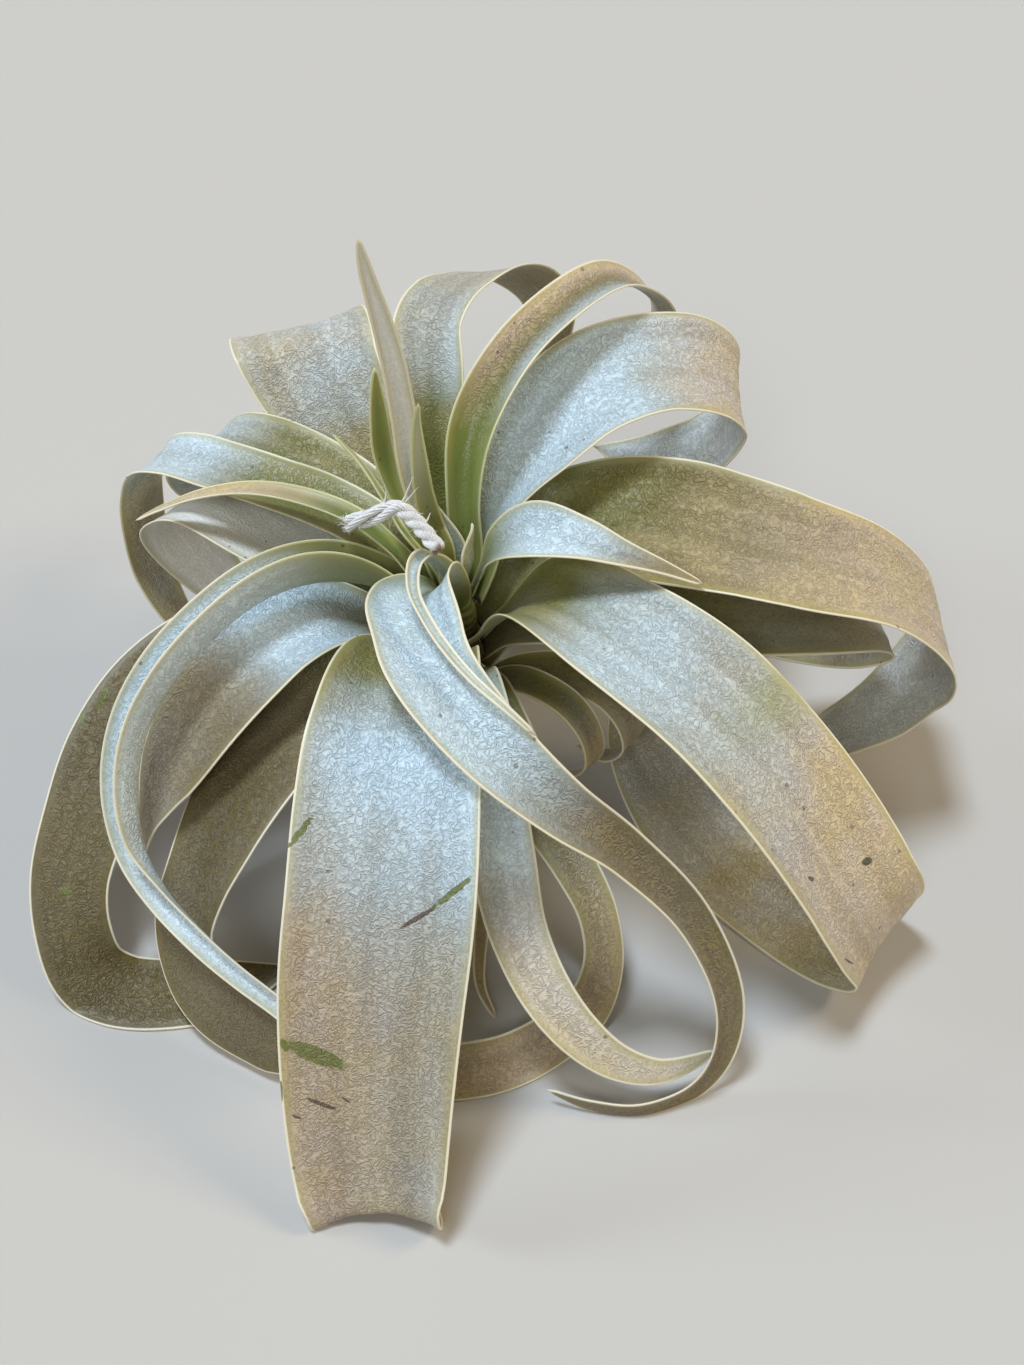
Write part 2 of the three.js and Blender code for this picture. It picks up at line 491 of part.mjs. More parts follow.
function finish(name, geometry, look) {
  const mesh = new THREE.Mesh(geometry, new THREE.MeshStandardMaterial(look));
  mesh.name = name;
  return mesh;
}

const plant = new THREE.Group();
plant.name = "xerographica_air_plant";
plant.add(finish("stem", stemGeometry(), LOOK.stem));
for (const leaf of LEAVES) {
  plant.add(finish(leaf.name, bladeGeometry(leaf), LOOK.leaf));
}
plant.add(finish("crown_cord", cordGeometry(), LOOK.cord));

// The origin lies under the middle of the plant's footprint, on the table
const footprint = new THREE.Box3().setFromObject(plant);
const middle = footprint.getCenter(new THREE.Vector3());
for (const mesh of plant.children) {
  mesh.position.set(-middle.x, -middle.y, 0);
}

export default plant;
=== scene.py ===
"""Xerographica air plant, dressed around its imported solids. Metres, +Z up, the table at z = 0."""
import math

import bpy
import numpy as np
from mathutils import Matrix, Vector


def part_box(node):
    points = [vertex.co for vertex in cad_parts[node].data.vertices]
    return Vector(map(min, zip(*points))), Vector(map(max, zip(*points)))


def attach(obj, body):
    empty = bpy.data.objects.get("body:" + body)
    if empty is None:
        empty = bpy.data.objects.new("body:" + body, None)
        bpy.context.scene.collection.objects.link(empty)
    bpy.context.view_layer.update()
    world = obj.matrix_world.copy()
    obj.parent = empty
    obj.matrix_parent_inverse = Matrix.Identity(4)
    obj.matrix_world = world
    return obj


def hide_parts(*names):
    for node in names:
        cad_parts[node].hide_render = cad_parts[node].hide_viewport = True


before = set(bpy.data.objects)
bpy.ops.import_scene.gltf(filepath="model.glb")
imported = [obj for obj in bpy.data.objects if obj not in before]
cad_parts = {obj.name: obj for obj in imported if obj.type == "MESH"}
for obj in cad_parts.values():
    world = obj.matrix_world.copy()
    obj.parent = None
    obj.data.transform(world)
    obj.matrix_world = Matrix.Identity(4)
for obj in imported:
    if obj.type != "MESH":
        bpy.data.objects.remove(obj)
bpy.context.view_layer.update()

# Camera. It looks down on the plant from half a metre in front of it, as the photograph does, with a
# normal lens. Its place is given from the stem's axis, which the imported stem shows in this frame.
MM = 0.001
CAMERA_PLACE = (18.2, -419.0, 540.8)
CAMERA_FROM_VERTICAL = 40.0
CAMERA_LENS = 50.0

stem_low, stem_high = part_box("stem")
CROWN = np.array([(stem_low.x + stem_high.x) / 2, (stem_low.y + stem_high.y) / 2, 0.0])

camera = bpy.data.objects.new("camera", bpy.data.cameras.new("camera"))
bpy.context.scene.collection.objects.link(camera)
camera.data.lens = CAMERA_LENS
camera.data.clip_start = 0.02
camera.data.clip_end = 20.0
camera.location = CROWN + np.array(CAMERA_PLACE) * MM
camera.rotation_euler = (math.radians(CAMERA_FROM_VERTICAL), 0, 0)
bpy.context.scene.camera = camera

# Crown cord. A short end of soft cotton cord, three plies twisted together, lies over the innermost
# leaves. It is tightly laid where it was cut, at the right, and has come apart at its left end.
CORD_ROUTE = [
    (-33.9, 6.95, 111.05), (-29, 4.1, 116.3), (-23, 3.4, 120), (-17, 2.4, 123),
    (-12.8, -0.9, 122), (-8.6, -6.4, 121), (-4.2, -12.4, 119.4),
]
CORD_POINTS = 140
PLIES = 3
PLY_RADIUS = 1.22
PLY_ORBIT = 1.36
LAY_LENGTH = 14.0
LOOSE_LAY_LENGTH = 48.0
LOOSE_PLY_RADIUS = 1.15
LOOSE_ORBIT = 1.75
FILAMENTS = 8
FILAMENT_RELIEF = 0.2
BACK_TWIST = -1.6
PLY_SIDES = 32
OPENING_SHARES = (0.25, 0.6)
END_THICKNESS = 0.45
END_ROUNDING = 1.5
CUT_BROWNING = 1.6
CUT_EDGE = 0.2
CUT_COVER = 0.9


def spline_rows(rows, shares):
    """Values at the given shares of a centripetal Catmull-Rom through rows, whose first three are a place."""
    rows = np.array(rows, float)
    last = len(rows) - 1
    steps = np.sqrt(np.linalg.norm(np.diff(rows[:, :3], axis=0), axis=1))
    knots = np.concatenate([[0.0], np.cumsum(steps)])
    padded = np.vstack([2 * rows[0] - rows[1], rows, 2 * rows[last] - rows[last - 1]])
    times = np.concatenate([[-knots[1]], knots, [2 * knots[last] - knots[last - 1]]])
    t = np.minimum(np.asarray(shares, float) * knots[last], knots[last] - 1e-9)
    i = np.clip(np.searchsorted(knots, t, side="right"), 1, last)
    p0, p1, p2, p3 = padded[i - 1], padded[i], padded[i + 1], padded[i + 2]
    t0, t1, t2, t3 = (times[i + k][:, None] for k in (-1, 0, 1, 2))
    t = t[:, None]
    a1 = ((t1 - t) * p0 + (t - t0) * p1) / (t1 - t0)
    a2 = ((t2 - t) * p1 + (t - t1) * p2) / (t2 - t1)
    a3 = ((t3 - t) * p2 + (t - t2) * p3) / (t3 - t2)
    b1 = ((t2 - t) * a1 + (t - t0) * a2) / (t2 - t0)
    b2 = ((t3 - t) * a2 + (t - t1) * a3) / (t3 - t1)
    return ((t2 - t) * b1 + (t - t1) * b2) / (t2 - t1)


def unit(vectors):
    return vectors / np.linalg.norm(vectors, axis=-1, keepdims=True)


def carried_sides(points, start):
    """A direction square to the line at each of its points, carried along it without twisting."""
    tangents = unit(np.gradient(points, axis=0))
    sides = []
    side = np.array(start, float)
    for tangent in tangents:
        side = unit(side - tangent * side.dot(tangent))
        sides.append(side)
    return tangents, np.array(sides)


def smooth_step(low, high, value):
    share = np.clip((value - low) / (high - low), 0, 1)
    return share * share * (3 - 2 * share)


def add(tree, kind, links=(), out=0, **settings):
    """Adds a node with its settings, feeds its inputs, listed in order or by name, and returns one output."""
    made = tree.nodes.new(kind)
    for key, value in settings.items():
        setattr(made, key, value)
    for key, value in links.items() if isinstance(links, dict) else enumerate(links):
        if isinstance(value, bpy.types.NodeSocket):
            tree.links.new(value, made.inputs[key])
        else:
            made.inputs[key].default_value = value
    return made if out is None or not made.outputs else made.outputs[out]


whole, real, vector = "FunctionNodeIntegerMath", "ShaderNodeMath", "ShaderNodeVectorMath"


def colour(code):
    """A linear colour from an sRGB hex value such as "c8b9a0"."""
    parts = [int(code[i:i + 2], 16) / 255 for i in (0, 2, 4)]
    return [p / 12.92 if p <= 0.04045 else ((p + 0.055) / 1.055) ** 2.4 for p in parts] + [1.0]


def line_object(name, lines, values):
    """An object of bare lines whose points carry named numbers or vectors for a node tree to follow."""
    mesh = bpy.data.meshes.new(name)
    points = np.vstack(lines)
    starts = np.concatenate([[0], np.cumsum([len(line) for line in lines])])
    edges = [(i, i + 1) for a, b in zip(starts[:-1], starts[1:]) for i in range(a, b - 1)]
    mesh.from_pydata(points.tolist(), edges, [])
    for key, value in values.items():
        value = np.asarray(value, np.float32)
        kind, field = ("FLOAT_VECTOR", "vector") if value.ndim == 2 else ("FLOAT", "value")
        mesh.attributes.new(key, kind, "POINT").data.foreach_set(field, value.ravel())
    made = bpy.data.objects.new(name, mesh)
    bpy.context.scene.collection.objects.link(made)
    return made


def new_tree(name, inputs):
    """An empty geometry tree with a geometry input, the named inputs, and a geometry output."""
    tree = bpy.data.node_groups.new(name, "GeometryNodeTree")
    tree.interface.new_socket("Geometry", in_out="INPUT", socket_type="NodeSocketGeometry")
    for label, (kind, default) in inputs.items():
        socket = tree.interface.new_socket(label, in_out="INPUT", socket_type="NodeSocket" + kind)
        if default is not None:
            socket.default_value = default
    tree.interface.new_socket("Geometry", in_out="OUTPUT", socket_type="NodeSocketGeometry")
    return tree, add(tree, "NodeGroupInput", out=None).outputs


def grown(source, tree, settings):
    """Runs a tree on an object with these inputs and keeps the plain mesh that comes out."""
    modifier = source.modifiers.new(tree.name, "NODES")
    modifier.node_group = tree
    sockets = {s.name: s.identifier for s in tree.interface.items_tree if s.in_out == "INPUT"}
    for label, value in settings.items():
        modifier[sockets[label]] = value
    depsgraph = bpy.context.evaluated_depsgraph_get()
    mesh = bpy.data.meshes.new_from_object(source.evaluated_get(depsgraph), depsgraph=depsgraph)
    source.modifiers.remove(modifier)
    bare = source.data
    source.data = mesh
    bpy.data.meshes.remove(bare)
    return source


# Cotton yarn: matt, off-white fibres, a little soiled in patches, with painted shade in the hollows between
# fibres, and browned where it was cut
COTTON_WHITE = "fbfaf6"
COTTON_SHADE = "b89c80"
COTTON_CUT = "8a5a2c"
FIBRE_WIDTH = 0.12
FIBRE_RELIEF = 0.25
SOIL_WIDTH = 4
SOIL_COVER = 0.3
CREVICE_SHADE_COVER = 0.5
cotton = bpy.data.materials.new("twisted cotton yarn")
cotton.use_nodes = True
cotton.node_tree.nodes.clear()
place = add(cotton.node_tree, "ShaderNodeTexCoord", out="Object")
soil = add(cotton.node_tree, "ShaderNodeTexNoise",
           {"Vector": place, "Scale": 1 / (SOIL_WIDTH * MM), "Detail": 2.0})
fibre = add(cotton.node_tree, "ShaderNodeTexNoise",
            {"Vector": place, "Scale": 1 / (2.5 * FIBRE_WIDTH * MM), "Detail": 3.0, "Distortion": 1.5})
soil_and_crevice_shade = add(cotton.node_tree, "ShaderNodeMapRange",
             {"Value": soil, "From Min": 0.5, "From Max": 0.75, "To Max": SOIL_COVER})
cut = add(cotton.node_tree, "ShaderNodeAttribute", out="Fac", attribute_name="browned")
# Painted shade: the yarn darkens where its fibre relief is low
crevice_shade = add(cotton.node_tree, "ShaderNodeMapRange",
             {"Value": fibre, "From Min": 0.45, "From Max": 0.3, "To Max": CREVICE_SHADE_COVER})
soil_and_crevice_shade = add(cotton.node_tree, real, [soil_and_crevice_shade, crevice_shade], operation="MAXIMUM")
yarn = add(cotton.node_tree, "ShaderNodeMix",
           {0: soil_and_crevice_shade, "A": colour(COTTON_WHITE), "B": colour(COTTON_SHADE)}, out=2, data_type="RGBA")
yarn = add(cotton.node_tree, "ShaderNodeMix", {0: cut, 6: yarn, 7: colour(COTTON_CUT)},
           out=2, data_type="RGBA")
strands = add(cotton.node_tree, "ShaderNodeBump",
              {"Height": fibre, "Distance": FIBRE_RELIEF * MM, "Strength": 1.0})
skin = add(cotton.node_tree, "ShaderNodeBsdfPrincipled",
           {"Base Color": yarn, "Roughness": 0.9, "Normal": strands,
            "Sheen Weight": 0.25, "Sheen Roughness": 0.5})
add(cotton.node_tree, "ShaderNodeOutputMaterial", {"Surface": skin})

# Every ply winds round the cord's line at its own angle; its own filaments twist the other way
ply_tree, ply = new_tree("twisted plies", {
    "Plies": ("Int", PLIES), "Filaments": ("Int", FILAMENTS), "Filament Relief": ("Float", FILAMENT_RELIEF),
    "Sides": ("Int", PLY_SIDES), "Material": ("Material", None),
})
line = add(ply_tree, "GeometryNodeMeshToCurve", {"Mesh": ply["Geometry"]})
copies = add(ply_tree, "GeometryNodeDuplicateElements", {"Geometry": line, "Amount": ply["Plies"]},
             out=None, domain="SPLINE")
own_turn = add(ply_tree, real, [copies.outputs["Duplicate Index"], math.tau], operation="MULTIPLY")
own_turn = add(ply_tree, real, [own_turn, ply["Plies"]], operation="DIVIDE")
told = {}
for key, kind in (("turn", "FLOAT"), ("orbit", "FLOAT"), ("ply", "FLOAT"),
                  ("side", "FLOAT_VECTOR"), ("face", "FLOAT_VECTOR")):
    told[key] = add(ply_tree, "GeometryNodeInputNamedAttribute", {"Name": key}, data_type=kind)
angle = add(ply_tree, real, [told["turn"], own_turn], operation="ADD")
shift = None
for key, wave in (("side", "COSINE"), ("face", "SINE")):
    reach = add(ply_tree, real, [angle], operation=wave)
    reach = add(ply_tree, real, [reach, told["orbit"]], operation="MULTIPLY")
    step = add(ply_tree, vector, {0: told[key], "Scale": reach}, operation="SCALE")
    shift = step if shift is None else add(ply_tree, vector, [shift, step], operation="ADD")
wound = add(ply_tree, "GeometryNodeSetPosition", {"Geometry": copies.outputs["Geometry"], "Offset": shift})
back_twist = add(ply_tree, real, [told["turn"], BACK_TWIST], operation="MULTIPLY")
wound = add(ply_tree, "GeometryNodeSetCurveTilt", {"Curve": wound, "Tilt": back_twist})
ring = add(ply_tree, "GeometryNodeCurvePrimitiveCircle", {"Resolution": ply["Sides"], "Radius": 1.0})
corner = add(ply_tree, "GeometryNodeInputIndex")
lobe = add(ply_tree, real, [corner, ply["Sides"]], operation="DIVIDE")
lobe = add(ply_tree, real, [lobe, ply["Filaments"]], operation="MULTIPLY")
lobe = add(ply_tree, real, [lobe, math.tau], operation="MULTIPLY")
lobe = add(ply_tree, real, [lobe], operation="COSINE")
lobe = add(ply_tree, real, [lobe, ply["Filament Relief"]], operation="MULTIPLY")
spot = add(ply_tree, "GeometryNodeInputPosition")
swell = add(ply_tree, vector, {0: spot, "Scale": lobe}, operation="SCALE")
ring = add(ply_tree, "GeometryNodeSetPosition", {"Geometry": ring, "Offset": swell})
tubes = add(ply_tree, "GeometryNodeCurveToMesh",
            {"Curve": wound, "Profile Curve": ring, "Scale": told["ply"], "Fill Caps": True})
tubes = add(ply_tree, "GeometryNodeSetShadeSmooth", {"Geometry": tubes})
tubes = add(ply_tree, "GeometryNodeRealizeInstances", {"Geometry": tubes})
tubes = add(ply_tree, "GeometryNodeSetMaterial", {"Geometry": tubes, "Material": ply["Material"]})
add(ply_tree, "NodeGroupOutput", [tubes])

shares = np.linspace(0, 1, CORD_POINTS)
cord_line = spline_rows(CORD_ROUTE, shares) * MM + CROWN
tangents, sides = carried_sides(cord_line, (0, 0, 1))
run = np.concatenate([[0], np.cumsum(np.linalg.norm(np.diff(cord_line, axis=0), axis=1))])
CORD_LENGTH = float(run[-1])
looseness = 1 - smooth_step(*OPENING_SHARES, run / CORD_LENGTH)
lay = (LAY_LENGTH + (LOOSE_LAY_LENGTH - LAY_LENGTH) * looseness) * MM
cord_turn = -np.concatenate([[0], np.cumsum(np.diff(run) / lay[1:])]) * math.tau
from_end = np.minimum(run, CORD_LENGTH - run) / (END_ROUNDING * MM)
closing = np.minimum(1, END_THICKNESS + (1 - END_THICKNESS) * np.sqrt(from_end))
cord = line_object("cord_end", [cord_line], {
    "turn": cord_turn,
    "orbit": (PLY_ORBIT + (LOOSE_ORBIT - PLY_ORBIT) * looseness) * MM,
    "ply": (PLY_RADIUS + (LOOSE_PLY_RADIUS - PLY_RADIUS) * looseness) * MM * closing,
    "side": sides, "face": np.cross(tangents, sides),
    "browned": smooth_step(CORD_LENGTH - CUT_BROWNING * MM, CORD_LENGTH - CUT_EDGE * MM, run) * CUT_COVER,
})
grown(cord, ply_tree, {"Material": cotton})

# Loose fibres: a spray at the torn left end, stray ones along the rest, and four thicker stray yarns, each
# with the point of the line that it leaves from, its length, its heading and its radius
FIBRES = 260
FRAYED_FIBRES = 60
FRAYED_SHARES, STRAY_SHARES = (0.0, 0.06), (0.06, 0.97)
FRAYED_LENGTHS, STRAY_LENGTHS = (1.5, 4.5), (1.0, 3.2)
FRAYED_PULL = 1.6
STRAY_PULL = 1.4
FIBRE_WANDER, YARN_WANDER = 0.3, 0.1
FIBRE_TAPER = 0.3
FIBRE_RADIUS = 0.11
FIBRE_STEPS = 9
STRAY_YARNS = {
    256: (70, 10.5, (0.5, 0.3, 0.85), 0.42), 257: (68, 8.0, (0.75, 0.3, 0.5), 0.3),
    258: (52, 8.0, (0.12, 0.3, 0.9), 0.34), 259: (108, 4.5, (0.45, 0.5, 0.5), 0.4),
}
draw = np.random.default_rng(11)
lines, widths = [], []
for i in range(FIBRES):
    frayed = i < FRAYED_FIBRES
    share = draw.uniform(*(FRAYED_SHARES if frayed else STRAY_SHARES))
    at = int(share * (CORD_POINTS - 1))
    length = draw.uniform(*(FRAYED_LENGTHS if frayed else STRAY_LENGTHS))
    out = unit(sides[at] * draw.normal() + np.cross(tangents[at], sides[at]) * draw.normal() + (0, 0, 0.4))
    pull = FRAYED_PULL if frayed else draw.uniform(-STRAY_PULL, STRAY_PULL)
    heading = unit(out * 0.5 - tangents[at] * pull)
    thick = FIBRE_RADIUS * draw.uniform(0.5, 1.2)
    if i in STRAY_YARNS:
        at, length, heading, thick = STRAY_YARNS[i]
        out = heading = unit(np.array(heading, float))
    points = [cord_line[at] + out * PLY_ORBIT * 1.2 * MM]
    for k in range(FIBRE_STEPS - 1):
        heading = unit(heading + draw.normal(size=3) * (YARN_WANDER if i in STRAY_YARNS else FIBRE_WANDER))
        points.append(points[-1] + heading * length * MM / (FIBRE_STEPS - 1))
    lines.append(np.array(points))
    widths.append(thick * MM * np.linspace(1.0, FIBRE_TAPER, FIBRE_STEPS))
fibre_count = FIBRES * FIBRE_STEPS
fibres = line_object("cord_fibres", lines, {
    "turn": np.zeros(fibre_count), "orbit": np.zeros(fibre_count), "ply": np.concatenate(widths),
    "side": np.tile((1.0, 0, 0), (fibre_count, 1)), "face": np.tile((0, 1.0, 0), (fibre_count, 1)),
    "browned": np.zeros(fibre_count),
})
grown(fibres, ply_tree, {"Plies": 1, "Sides": 6, "Filaments": 1, "Filament Relief": 0.0, "Material": cotton})

for piece in (cord, fibres):
    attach(piece, "root")
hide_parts("crown_cord")

# Leaves. Thirty-two tapering, channelled blades, each set on the stem by its own base and curling down
# and under as it ages. The tissue is about a millimetre thick at the midrib and thins to its margins.

# Each leaf's order from the heart outwards, the azimuth of its base, how evenly its cup is spread from
# midrib to margin (a low value folds it at the midrib), the size of its base, and its stations. A station
# is (x, y, z, half width, roll, cup): millimetres from the stem's axis and the table, then degrees.
LEAVES = {
    "heart_bud": (0, -20, 1, 0.6, [
        (5.2, -0.8, 109, 4.2, 0, 105), (5.8, 1.2, 114.5, 2.4, 0, 80), (5.6, 2.2, 116.8, 0.9, 0, 0),
    ]),
    "heart_spike": (1, 125, 1, 0.42, [
        (-7, 10, 106, 4.2, 0, 90), (-10, 10, 120, 4.2, 0, 90), (-11, 10, 136, 3.4, 0, 80),
        (-11, 12, 150, 1.8, 0, 50), (-10, 12, 158, 0.8, 0, 0),
    ]),
    "heart_needle": (2, 190, 1, 0.25, [
        (-16.5, 6.5, 107.5, 2.6, 0, 90), (-24, 17, 115, 2.5, 0, 80), (-31, 25, 122, 1.8, 0, 40),
        (-39, 29, 130, 0.8, 0, 0),
    ]),
    "upright_pale": (4, 105, 0.6, 0.75, [
        (-11, 17, 110, 5.4, 0, 110), (-15, 20, 128, 5.5, 0, 120), (-16.5, 22, 147, 5.5, 0, 125),
        (-18.5, 22, 167, 5, 0, 120), (-20.5, 18, 185, 4.2, 0, 110), (-23, 12, 206, 2.6, 0, 80),
        (-24, 7, 222, 0.8, 0, 0),
    ]),
    "front_long": (5, -105, 0.6, 1, [
        (-7.6, -16.2, 103.8, 15.6, 19, 103), (-11.2, -26, 108, 16.2, 13, 94), (-9.6, -40, 111, 15.8, 6, 88),
        (-5, -58, 112.5, 14.8, 2, 85), (11, -78, 105, 13, -4, 75), (31, -90, 91, 11, -8, 90),
        (50.5, -94.5, 74, 9.6, -10, 108), (71, -104, 53, 8.6, -10, 116), (83, -118, 30, 7.2, -6, 105),
        (82, -128, 13, 6, 0, 85), (74, -135, 4, 5.2, 0, 50), (58, -141, 2, 4.3, 0, 20),
        (43, -140, 3, 3, 0, 0), (29, -136, 6, 0.9, 0, 0),
    ]),
    "upright_green": (6, 134, 1, 0.5, [
        (-19, 24, 106, 3.4, 0, 60), (-24, 32, 119, 4.6, 0, 90), (-25, 36, 132, 3.8, 0, 80),
        (-25, 39, 149, 0.9, 0, 0),
    ]),
    "back_channel": (7, 67, 0.6, 0.62, [
        (4, 19, 109, 7.5, 0, 120), (7, 33, 128, 10, 0, 120), (19, 51, 142, 10, 0, 105),
        (37, 71, 148, 9.5, 0, 90), (51, 85, 146, 9, 0, 80), (63, 95, 134, 8.5, 0, 70),
        (70, 104, 115, 7.5, 0, 60), (68, 110, 92, 6, 0, 40), (60, 112, 72, 3.5, 0, 20),
        (54, 112, 62, 0.9, 0, 0),
    ]),
    "left_narrow": (8, 176, 1, 0.72, [
        (-20, 5, 101, 5, 0, 90), (-34, 14, 106, 6.5, 0, 100), (-51, 20, 109, 6.5, 0, 90),
        (-67, 23, 110, 5.5, 0, 70), (-84, 25, 106, 4, 0, 50), (-98, 26, 99, 2.5, 0, 30),
        (-107, 27, 93, 0.9, 0, 0),
    ]),
    "back_right": (9, 52, 1, 0.9, [
        (12, 21, 103, 11.5, 0, 100), (27, 38, 117, 18.5, 0, 75), (43, 51, 127, 21.5, 0, 55),
        (63, 60, 130, 22.5, 0, 35), (84, 66, 125, 21.5, 8, 20), (95, 71, 111, 19.5, 16, 15),
        (93, 73, 95, 17.5, 18, 10), (82, 75, 80, 14.5, 10, 10), (68, 80, 73, 9, 0, 10),
        (56, 86, 69, 4, 0, 0), (48, 91, 67, 1, 0, 0),
    ]),
    "left_hoop": (12, 188, 0.3, 0.96, [
        (-22.8, -2, 91.3, 10.3, 6, 148), (-35, -4, 97, 13, 16, 172), (-47, -9, 101, 14, 23, 180),
        (-60, -18, 103, 14, 25, 180), (-75, -30, 98, 14, 25, 176), (-86, -40, 91, 13.5, 25, 172),
        (-94, -49, 81, 13, 25, 166), (-98, -58, 71, 12.5, 25, 160), (-99, -67, 60, 11.6, 24, 152),
        (-97, -76, 49, 9.8, 18, 140), (-90, -87, 42, 7.6, 8, 120), (-77, -101, 37, 6, 0, 100),
        (-66, -110, 33, 5.2, 0, 90), (-55, -118, 30, 4.6, 0, 80), (-45, -126, 28, 3.8, 0, 60),
        (-36, -131, 27, 2.6, 0, 30), (-30, -134, 27, 0.9, 0, 0),
    ]),
    "right_short": (4, 0, 1, 0.46, [
        (13.5, -1, 107.5, 8.3, 0, 104), (24, -2.5, 115.5, 12, 0, 88), (39, -7, 118.3, 8.4, 0, 62),
        (53, -11, 116, 5, 0, 42), (66, -13.5, 112.5, 2.7, 0, 22), (78, -15.5, 107.5, 0.9, 0, 0),
    ]),
    "back_blue": (14, 99, 1, 0.85, [
        (-6, 28, 104, 7.2, 0, 80), (-8, 38, 123, 11.5, 0, 85), (-9, 51, 137, 12, 0, 60),
        (-9, 64, 145, 11.6, -8, 50), (-4, 75, 148, 11.6, -20, 40), (3, 84, 147, 12, -32, 30),
        (12, 95, 142, 12, -42, 25), (23, 106, 131, 11.2, -50, 20), (31, 115, 113, 9.8, -45, 15),
        (31, 121, 88, 7, -30, 10), (26, 123, 64, 3, 0, 0), (22, 123, 54, 0.9, 0, 0),
    ]),
    "right_front": (15, -35, 1, 1, [
        (27, -15, 99, 19.5, 0, 85), (51, -34, 103, 23.5, 0, 50), (76, -52, 97, 25, 0, 35),
        (98, -68, 82, 25.2, 0, 20), (117, -82, 61, 24.5, 3, 18), (130, -91, 41, 22.5, 8, 22),
        (138, -89, 21, 20.5, 12, 28), (135, -83, 7, 19.5, 12, 20), (120, -73, 2.5, 19.5, 6, 0),
        (95, -50, 3, 19, 0, 0), (77, -30, 8, 16.5, 0, 0), (64, -9, 14, 12, 0, 0), (57, 6, 21, 6, 0, 0),
        (52, 15, 26, 1.2, 0, 0),
    ]),
    "left_folded": (16, 150, 0.7, 1, [
        (-27, 20, 91, 12, 0, 70), (-45, 30, 96, 13, 0, 65), (-61, 35, 99, 13, 0, 65),
        (-79, 42, 100, 13, 0, 65), (-93, 50, 98, 12.5, 0, 60), (-104, 57, 92, 12, 0, 40),
        (-110, 61, 79, 11.5, 0, 30), (-113, 62, 60, 11, 0, 20), (-112, 57, 38, 9.5, 0, 10),
        (-104, 48, 22, 7, 0, 0), (-92, 40, 13, 3.5, 0, 0), (-86, 36, 11, 1, 0, 0),
    ]),
    "right_olive": (17, 24, 1, 1, [
        (28, 20, 92, 18, 0, 80), (47, 18, 101, 22.5, 0, 60), (70, 12, 105, 24.5, 0, 40),
        (88, 6, 106, 24, -4, 30), (110, -1, 105, 22.5, -8, 28), (137, -1, 95, 20.5, -12, 22),
        (156, 1, 77, 19.5, -14, 15), (164, 3, 58, 18.5, -16, 10), (161, 8, 40, 18, -12, 5),
        (151, 4, 27, 17, -6, 5), (138, 0, 18, 15, 0, 0), (122, -6, 14, 11, 0, 0), (108, -12, 14, 6, 0, 0),
        (100, -15, 15, 1.2, 0, 0),
    ]),
    "back_left_low": (18, 138, 1, 1, [
        (-22, 26, 81, 14, 0, 70), (-37, 40, 88, 16.5, -4, 50), (-56, 52, 91, 17.5, -8, 30),
        (-73, 62, 91, 17.5, -7, 20), (-86, 71, 86, 17, -3, 15), (-94, 79, 75, 15, 0, 10),
        (-97, 86, 58, 11, 0, 0), (-95, 90, 44, 6, 0, 0), (-92, 92, 34, 1.2, 0, 0),
    ]),
    "front_broad": (19, -98, 1, 1, [
        (-12, -38, 97, 22, 0, 60), (-16, -66, 99, 27, 0, 35), (-18, -88, 91, 28.5, 0, 25),
        (-20, -111, 75, 29, 0, 20), (-23, -132, 54, 28.5, 0, 20), (-24, -152, 32, 26.5, 0, 30),
        (-23, -169, 13, 24, 0, 50), (-22, -176, 5, 22, 0, 58), (-21, -170, 0.8, 20, 0, 30),
        (-19, -158, 4, 16, 0, 0), (-17, -148, 9, 10, 0, 0), (-16, -140, 14, 4, 0, 0),
        (-15, -136, 16, 1.2, 0, 0),
    ]),
    "back_left_broad": (20, 114, 1, 1, [
        (-20, 48, 77, 14, 0, 60), (-36, 72.5, 88.5, 18, -22, 24), (-49, 90, 100, 23, -22, 18),
        (-56, 104, 107, 25, -10, 16), (-60, 118, 99, 23.5, 0, 16), (-60, 129, 78, 20, 0, 0),
        (-57, 131, 54, 14, 0, 0), (-52, 128, 36, 7, 0, 0), (-49, 125, 26, 1.5, 0, 0),
    ]),
    "left_front_blue": (21, -155, 0.8, 1, [
        (-28, -8, 79, 14, 0, 80), (-43, -14, 88, 18.5, 0, 70), (-56, -23, 89, 19.5, 0, 60),
        (-67, -33, 86, 19.5, 0, 45), (-78, -43, 78, 18, 0, 35), (-87, -51, 67, 15, 0, 25),
        (-94, -58, 57, 11, 0, 15), (-98, -63, 48, 7, 0, 0), (-99, -67, 42, 3, 0, 0),
        (-99, -69, 39, 1.2, 0, 0),
    ]),
    "left_broad": (22, 173, 1, 0.85, [
        (-26, 11, 69.5, 11, 0, 50), (-45, 18, 79, 15.5, 4, 35), (-64, 27, 87, 18.5, 8, 25),
        (-82, 40, 88, 18.5, 6, 20), (-95, 51, 78, 17.5, 0, 10), (-101, 59, 62, 15.5, 0, 0),
        (-97, 61, 43, 12.5, 0, 0), (-86, 57, 28, 9, 0, 0), (-74, 51, 20, 4, 0, 0), (-68, 47, 18, 1.2, 0, 0),
    ]),
    "right_low": (23, 8, 1, 1, [
        (30, 2, 74, 16, 0, 70), (60, -3, 80, 18.5, 0, 50), (87, -1, 79, 19.5, 0, 35),
        (116, 5, 72, 18, 0, 20), (138, 14, 61, 16, 0, 10), (145, 19, 50, 14, 0, 0), (137, 22, 41, 12, 0, 0),
        (121, 23, 37, 8.5, 0, 0), (106, 22, 36, 4, 0, 0), (97, 20, 36, 1.2, 0, 0),
    ]),
    "front_narrow": (24, -80, 1, 1, [
        (4, -32, 79, 11, 0, 60), (7, -50, 79, 12, 0, 45), (10, -68, 73, 12, 0, 30),
        (15, -87, 62, 10.5, 0, 25), (20, -104, 47, 9.2, 0, 25), (28, -118, 36, 8.4, 0, 30),
